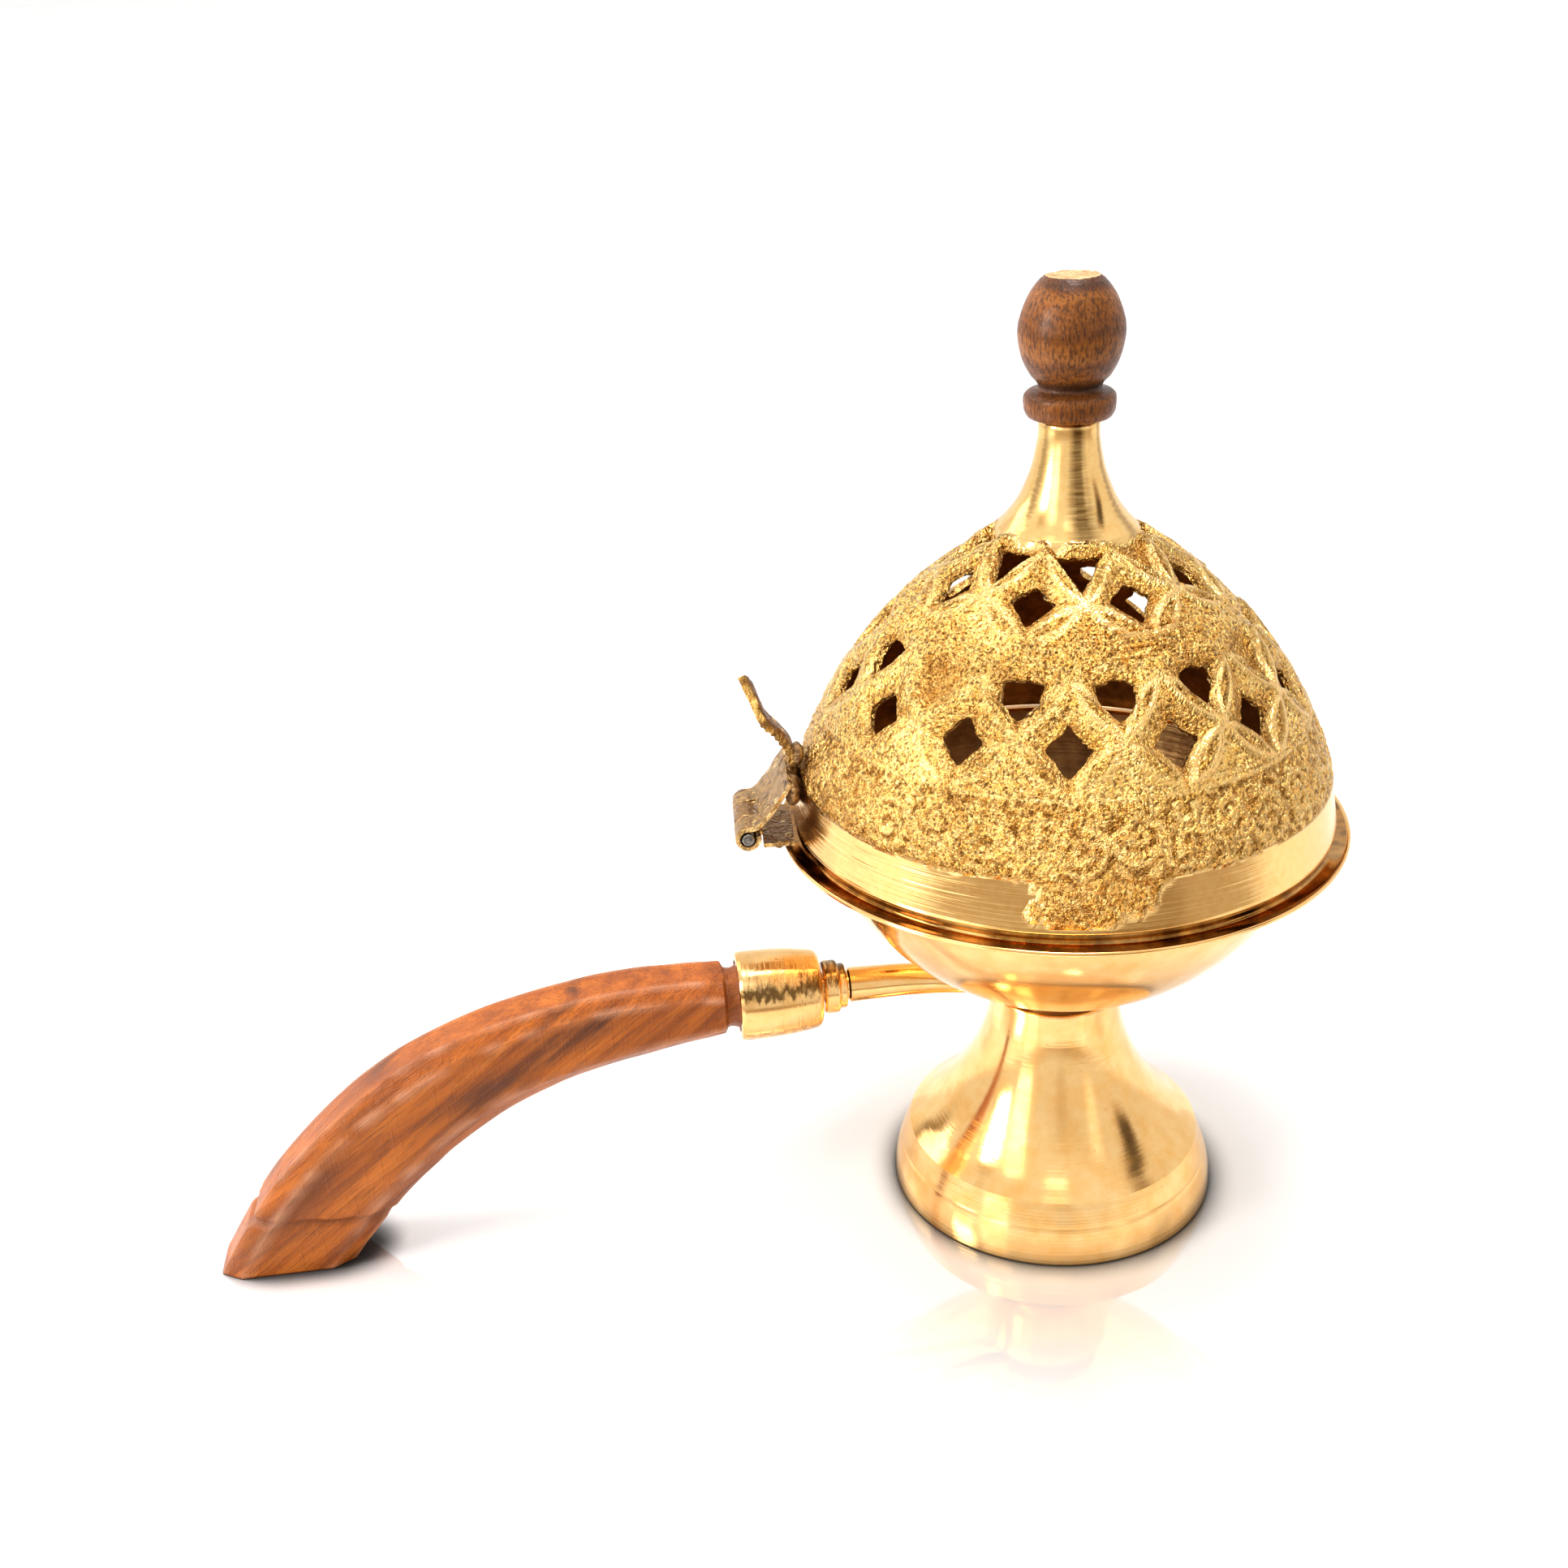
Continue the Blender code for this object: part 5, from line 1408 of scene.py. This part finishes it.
def sheet_metal(name, path, width, thick, missing, mat, body, nodes, seed, rough=0.07, tip=None, step=0.32, extra=None):
    """A strip bent along path, (u, z), with the cells where missing(u, z, y) is true left out."""
    p = resample(path, step)
    L = np.r_[0, np.cumsum(np.hypot(*(p[1:] - p[:-1]).T))]
    s = np.unique(np.r_[0, 0.12, L[1:-1], L[-1] - 0.12, L[-1]])
    ys = [-width / 2, -width / 2 + 0.14, width / 2 - 0.14, width / 2] + list(np.linspace(-width / 2 + 0.5, width / 2 - 0.5, max(5, int(width / 0.42))))
    for y in (2.7, 3.0):
        if width > 8:
            ys += [y, -y, y + 0.12, -y - 0.12, y - 0.12, -y + 0.12]
    ys = np.array(sorted(set(np.round(ys, 3))))
    n, m = len(s), len(ys)
    S = np.repeat(s[:, None], m, 1)
    Y = np.repeat(ys[None, :], n, 0)
    if tip is not None:
        S = S * (tip(Y, p, L) / L[-1])
    U, Z = np.interp(S, L, p[:, 0]), np.interp(S, L, p[:, 1])
    h = 0.15
    tu = np.interp(np.minimum(S + h, L[-1]), L, p[:, 0]) - np.interp(np.maximum(S - h, 0), L, p[:, 0])
    tz = np.interp(np.minimum(S + h, L[-1]), L, p[:, 1]) - np.interp(np.maximum(S - h, 0), L, p[:, 1])
    q = np.hypot(tu, tz)
    NU, NZ = tz / q, -tu / q
    keep = np.ones((n - 1, m - 1), bool)
    for i in range(n - 1):
        for j in range(m - 1):
            if missing is not None and missing((U[i, j] + U[i + 1, j]) / 2, (Z[i, j] + Z[i + 1, j]) / 2, (ys[j] + ys[j + 1]) / 2):
                keep[i, j] = False
    cells = np.zeros((n + 1, m + 1), bool)
    cells[1:-1, 1:-1] = keep
    around = cells[:-1, :-1].astype(int) + cells[1:, :-1] + cells[:-1, 1:] + cells[1:, 1:]
    rim = (around < 4) & (around > 0)
    P = np.stack([U, Y, Z], -1)
    flat = P.reshape(-1, 3)
    lump = (rough * fbm(flat, 0.55, 3, seed)).reshape(n, m)
    side = (0.10 * vnoise(flat * np.array([1, 0.15, 1]), 0.8, seed + 1)).reshape(n, m)
    near_pin = np.hypot(U - PIN_U, Z - PIN_Z) < 3.0
    half = thick / 2 * np.where(rim, 0.86, 1.0)
    top = P + np.stack([NU, Y * 0, NZ], -1) * (half + lump * 0.9)[..., None]
    low = P - np.stack([NU, Y * 0, NZ], -1) * (half + np.where(near_pin, 0.0, -lump * 0.5))[..., None]
    if extra is not None:
        top, low = extra(top, low, S, Y, NU, NZ, rim)
    edge_in = np.where(rim, side, 0.0)
    top[..., 1] += np.sign(Y) * edge_in * (np.abs(Y) > width / 2 - 0.2)
    low[..., 1] += np.sign(Y) * edge_in * (np.abs(Y) > width / 2 - 0.2)
    v, f, used = thick_grid(top, low, keep)
    rm = np.concatenate([rim.reshape(-1), rim.reshape(-1)])[used].astype(float)
    bright = rm * (0.12 + 0.88 * sstep(vnoise(v, 0.7, seed + 2), -0.1, 0.45))
    return piece(name, at_hinge(v), f, [mat], body, nodes, sharp=48.0, relief=np.c_[bright, bright * 0, bright * 0])


lid_path = wrap(-195, 95, 46) + spline([(54.9, 81.72), (54.0, 82.1), (52.9, 83.2), (51.3, 85.3), (49.7, 87.6), (48.35, 89.8)], 5)
bowl_path = wrap(190, -98, 46) + [(54.7, 78.12), (53.3, 78.28), (51.5, 78.32), (47.95, 78.32)]
sheet_metal("lid_leaf_plate", lid_path, 16.3, KT, lambda u, z, y: u > 53.72 and z < 83.9 and abs(y) < 3.0, "leaf", "lid",
            ["lid_hinge_leaf"], 60, rough=0.17)
sheet_metal("bowl_leaf_plate", bowl_path, 15.5, KT, lambda u, z, y: u > 53.3 and abs(y) > 2.7, "bronze", "base",
            ["bowl_hinge_leaf"], 70, rough=0.15)

lever_path = spline([(47.6, 90.8), (47.75, 92.6), (48.5, 94.6), (50.0, 96.6), (51.9, 98.7), (53.0, 100.9), (53.7, 103.2), (54.6, 105.6), (55.6, 108.2)], 6)


def lever_tip(Y, p, L):
    z_end = 106.45 + Y * math.tan(math.radians(31))
    return np.interp(z_end, p[:, 1], L)


def lever_marks(top, low, S, Y, NU, NZ, rim):
    """Hammered waves, a ridge along the strip and shear marks on its near edge."""
    near = sstep(Y, 0.8, 2.4)
    wave = 0.16 * np.sin(S * math.tau / 1.15) * sstep(S, 1.0, 3.0) * (1 - sstep(S, 9.0, 11.0)) * near
    ridge = 0.22 * np.exp(-((Y - 1.1) / 0.45) ** 2) * sstep(S, 3.0, 6.0)
    flat = top.reshape(-1, 3)
    lump = (0.20 * vnoise(flat, 0.45, 83)).reshape(S.shape)
    nrm = np.stack([NU, Y * 0, NZ], -1)
    top = top + nrm * (wave + lump)[..., None]
    low = low - nrm * (ridge + wave * 0.5 + lump * 0.3)[..., None]
    shift = (0.28 * vnoise(flat * np.array([1.0, 0.1, 1.0]), 0.42, 84)).reshape(S.shape) * (np.abs(Y) / 2.6) ** 2
    top[..., 1] += shift
    low[..., 1] += shift
    return top, low


sheet_metal("lever_strip", lever_path, 5.2, 1.4, None, "lever", "lid", ["thumb_lever"], 80, rough=0.12, tip=lever_tip,
            step=0.25, extra=lever_marks)

pin_p = rounded([(0.0, 8.58), (0.45, 8.58), (0.55, 8.45), (0.66, 8.58), (1.0, 8.52), (1.1, 8.4), (1.1, -8.4), (1.0, -8.52), (0.66, -8.58), (0.55, -8.45),
                 (0.45, -8.58), (0.0, -8.58)], keep=(0, 11), r=0.05, n=2)
v, f, _ = revolve(pin_p, 40, closed=False)
v = np.c_[v[:, 0] + PIN_U, -v[:, 2], v[:, 1] + PIN_Z]
piece("hinge_pin_rod", at_hinge(v), f, ["steel"], "base", ["hinge_pin"], sharp=30)


def bead(name, u, z, r, half, body, node, seed, squash=(1.0, 1.0), grow=1.0, rag=0.55):
    me_v, me_f = [], []
    nu, nv = 44, 30
    for i in range(nv + 1):
        th = math.pi * i / nv
        if i in (0, nv):
            me_v.append((0, 0, math.cos(th)))
            continue
        for j in range(nu):
            ph = math.tau * j / nu
            me_v.append((math.sin(th) * math.cos(ph), math.sin(th) * math.sin(ph), math.cos(th)))
    v = np.array(me_v)

    def ring_at(i):
        return [0] * nu if i == 0 else ([len(me_v) - 1] * nu if i == nv else [1 + (i - 1) * nu + j for j in range(nu)])
    for i in range(nv):
        a, b = ring_at(i), ring_at(i + 1)
        for j in range(nu):
            k = (j + 1) % nu
            q = [a[j], a[k], b[k], b[j]]
            q = [x for n_, x in enumerate(q) if x not in q[:n_]]
            me_f.append(tuple(q))
    e = np.sign(v[:, 2]) * np.abs(v[:, 2]) ** 0.8
    p = np.c_[v[:, 0] * r * squash[0] * grow, e * half, v[:, 1] * r * squash[1] * grow]
    k = 1 + rag * fbm(np.c_[p[:, 0] * 0.5, p[:, 1], p[:, 2] * 0.5], 0.7, 3, seed)
    p[:, 0] *= k
    p[:, 2] *= k
    p = p + np.array([u, 0, z])
    return piece(name, at_hinge(p), me_f, ["braze"], body, [node], sharp=60)


bead("lid_braze_run", 47.9, 86.9, 1.3, 7.6, "lid", "lid_leaf_braze", 90, squash=(1.25, 2.1), rag=0.7)
bead("lever_braze_run", 46.55, 92.4, 1.15, 3.3, "lid", "lever_braze", 93, squash=(1.0, 1.5))
bead("bowl_braze_run", 50.6, 77.25, 0.95, 6.7, "base", "bowl_leaf_braze", 96, squash=(1.5, 0.8))

# ================================================================== stage
def floor():
    me = bpy.data.meshes.new("floor")
    me.from_pydata([(-60, -0.17, -0.00004), (60, -0.17, -0.00004), (60, 90, -0.00004), (-60, 90, -0.00004)], [], [(0, 1, 2, 3)])
    ob = bpy.data.objects.new("floor", me)
    bpy.context.scene.collection.objects.link(ob)
    m = bpy.data.materials.new("white_acrylic")
    m.use_nodes = True
    t = m.node_tree
    b = t.nodes["Principled BSDF"]
    # Painted contact shadow: ambient occlusion darkens the floor's white close to the object, on both its diffuse and
    # its mirror part.
    contact_shadow_ao = t.nodes.new("ShaderNodeAmbientOcclusion")
    contact_shadow_ao.samples = 16
    contact_shadow_ao.inputs["Distance"].default_value = 0.008
    near = t.nodes.new("ShaderNodeMapRange")
    near.interpolation_type = "SMOOTHSTEP"
    near.inputs["From Min"].default_value, near.inputs["From Max"].default_value = 0.50, 0.95
    near.inputs["To Min"].default_value, near.inputs["To Max"].default_value = 0.06, 1.0
    t.links.new(contact_shadow_ao.outputs["AO"], near.inputs["Value"])
    floor_colour_with_painted_shadow = t.nodes.new("ShaderNodeVectorMath")
    floor_colour_with_painted_shadow.operation = "SCALE"
    floor_colour_with_painted_shadow.inputs[0].default_value = (0.95, 0.95, 0.95)
    t.links.new(near.outputs[0], floor_colour_with_painted_shadow.inputs["Scale"])
    t.links.new(floor_colour_with_painted_shadow.outputs[0], b.inputs["Base Color"])
    b.inputs["Roughness"].default_value = 0.6
    b.inputs["Specular IOR Level"].default_value = 0.2
    gl = t.nodes.new("ShaderNodeBsdfGlossy")
    gl.inputs["Roughness"].default_value = 0.04
    t.links.new(floor_colour_with_painted_shadow.outputs[0], gl.inputs["Color"])
    mix = t.nodes.new("ShaderNodeMixShader")
    mix.inputs[0].default_value = 0.34
    t.links.new(b.outputs[0], mix.inputs[1])
    t.links.new(gl.outputs[0], mix.inputs[2])
    t.links.new(mix.outputs[0], t.nodes["Material Output"].inputs["Surface"])
    me.materials.append(m)
    ob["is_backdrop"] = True


floor()


def area(name, where, look, size, power, colour=(1, 1, 1), shape="RECTANGLE"):
    li = bpy.data.lights.new(name, "AREA")
    li.shape = shape
    li.size, li.size_y = size
    li.energy = power
    li.color = colour
    ob = bpy.data.objects.new(name, li)
    bpy.context.scene.collection.objects.link(ob)
    ob.location = where
    d = Vector(look) - Vector(where)
    ob.rotation_euler = d.to_track_quat("-Z", "Y").to_euler()
    return ob


HEART = (0.045, 0.0, 0.08)
area("key_left", (-0.60, -0.17, 0.37), HEART, (0.16, 0.34), 3.2, (1.0, 0.98, 0.95))
area("top_spark", (0.06, 0.02, 0.85), HEART, (0.26, 0.20), 3.4)
area("top_soft", (0.0, 0.16, 0.95), HEART, (0.8, 0.6), 0.8)
area("rear_left", (-0.60, 0.55, 0.6), HEART, (0.4, 0.5), 1.6)


def world():
    w = bpy.data.worlds.new("studio")
    bpy.context.scene.world = w
    w.use_nodes = True
    t = w.node_tree
    t.nodes.clear()

    def math_(op, a, b=0.0, clamp=False):
        n = t.nodes.new("ShaderNodeMath")
        n.operation, n.use_clamp = op, clamp
        for s, val in zip(n.inputs, (a, b)):
            if isinstance(val, bpy.types.NodeSocket):
                t.links.new(val, s)
            else:
                s.default_value = val
        return n.outputs[0]

    def smooth(v, a, b):
        n = t.nodes.new("ShaderNodeMapRange")
        n.interpolation_type = "SMOOTHSTEP"
        t.links.new(v, n.inputs["Value"])
        n.inputs["From Min"].default_value, n.inputs["From Max"].default_value = a, b
        return n.outputs[0]
    co = t.nodes.new("ShaderNodeTexCoord").outputs["Generated"]
    sep = t.nodes.new("ShaderNodeSeparateXYZ")
    t.links.new(co, sep.inputs[0])
    x, y, z = sep.outputs
    el = math_("MULTIPLY", math_("ARCSINE", z), 180 / math.pi)
    az = math_("MULTIPLY", math_("ARCTAN2", y, x), 180 / math.pi)

    def patch(az0, az1, el0, el1, soft_a, soft_e):
        """1 inside the box of directions, with soft sides."""
        a = math_("MULTIPLY", smooth(az, az0 - soft_a, az0 + soft_a), smooth(math_("MULTIPLY", az, -1.0), -az1 - soft_a, -az1 + soft_a))
        e = math_("MULTIPLY", smooth(el, el0 - soft_e, el0 + soft_e), smooth(math_("MULTIPLY", el, -1.0), -el1 - soft_e, -el1 + soft_e))
        return math_("MULTIPLY", a, e)

    level = math_("ADD", 0.95, math_("MULTIPLY", smooth(el, 10, 60), 0.12))
    for box, value in (((-108, -22, 4, 40, 12, 6), 0.93), ((-160, 30, -60, -7.0, 8, 3), 0.56), ((-90, -56, -60, -8, 5, 4), 0.35), ((40, 130, 0, 14, 8, 1.5), 1.15), ((-100, -88, 0, 36, 3, 5), 0.80),
                       ((-152, -134, 2, 52, 2, 5), 2.8), ((-62, -52, 6, 40, 3, 4), 1.4), ((-112, -88, 53, 62, 4, 3), 2.2),
                       ((-30, -16, 16, 46, 3, 6), 0.04), ((126, 142, 14, 46, 4, 6), 0.10), ((-178, -164, 10, 50, 4, 6), 0.45)):
        m = patch(*box)
        level = math_("ADD", math_("MULTIPLY", level, math_("SUBTRACT", 1.0, m)), math_("MULTIPLY", m, value))
    lp = t.nodes.new("ShaderNodeLightPath")
    soft = math_("ADD", 0.40, math_("MULTIPLY", smooth(el, 15, 75), 1.10))
    diff = lp.outputs["Is Diffuse Ray"]
    level = math_("ADD", math_("MULTIPLY", level, math_("SUBTRACT", 1.0, diff)), math_("MULTIPLY", soft, diff))
    seen = lp.outputs["Is Camera Ray"]
    strength = math_("ADD", math_("MULTIPLY", level, math_("SUBTRACT", 1.0, seen)), seen)
    bg = t.nodes.new("ShaderNodeBackground")
    tone = t.nodes.new("ShaderNodeMix")
    tone.data_type = "RGBA"
    t.links.new(math_("MULTIPLY", math_("SUBTRACT", 0.98, strength, True), 1.25, True), tone.inputs[0])
    tone.inputs[6].default_value, tone.inputs[7].default_value = (1.0, 0.995, 0.985, 1), (1.0, 0.66, 0.34, 1)
    plain = t.nodes.new("ShaderNodeMix")
    plain.data_type = "RGBA"
    t.links.new(diff, plain.inputs[0])
    t.links.new(tone.outputs[2], plain.inputs[6])
    plain.inputs[7].default_value = (1.0, 0.99, 0.975, 1)
    t.links.new(plain.outputs[2], bg.inputs["Color"])
    t.links.new(strength, bg.inputs["Strength"])
    out = t.nodes.new("ShaderNodeOutputWorld")
    t.links.new(bg.outputs[0], out.inputs[0])


world()
bpy.context.scene.view_settings.view_transform = "Standard"
bpy.context.scene.view_settings.look = "None"

cam = bpy.data.cameras.new("camera")
cam.lens, cam.sensor_width, cam.sensor_fit = 40.92, 36.0, "HORIZONTAL"
cam.clip_start, cam.clip_end = 0.01, 20.0
cam.dof.use_dof = False
camera = bpy.data.objects.new("camera", cam)
bpy.context.scene.collection.objects.link(camera)
camera.matrix_world = (Matrix.Translation((-0.02534, -0.27890, 0.2191)) @ Matrix.Rotation(math.radians(-6.3), 4, "Z")
                       @ Matrix.Rotation(math.radians(64.92), 4, "X") @ Matrix.Rotation(math.radians(-2.68), 4, "Z"))
bpy.context.scene.camera = camera

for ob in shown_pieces():
    if ob.type == "MESH":
        closed_report(ob)
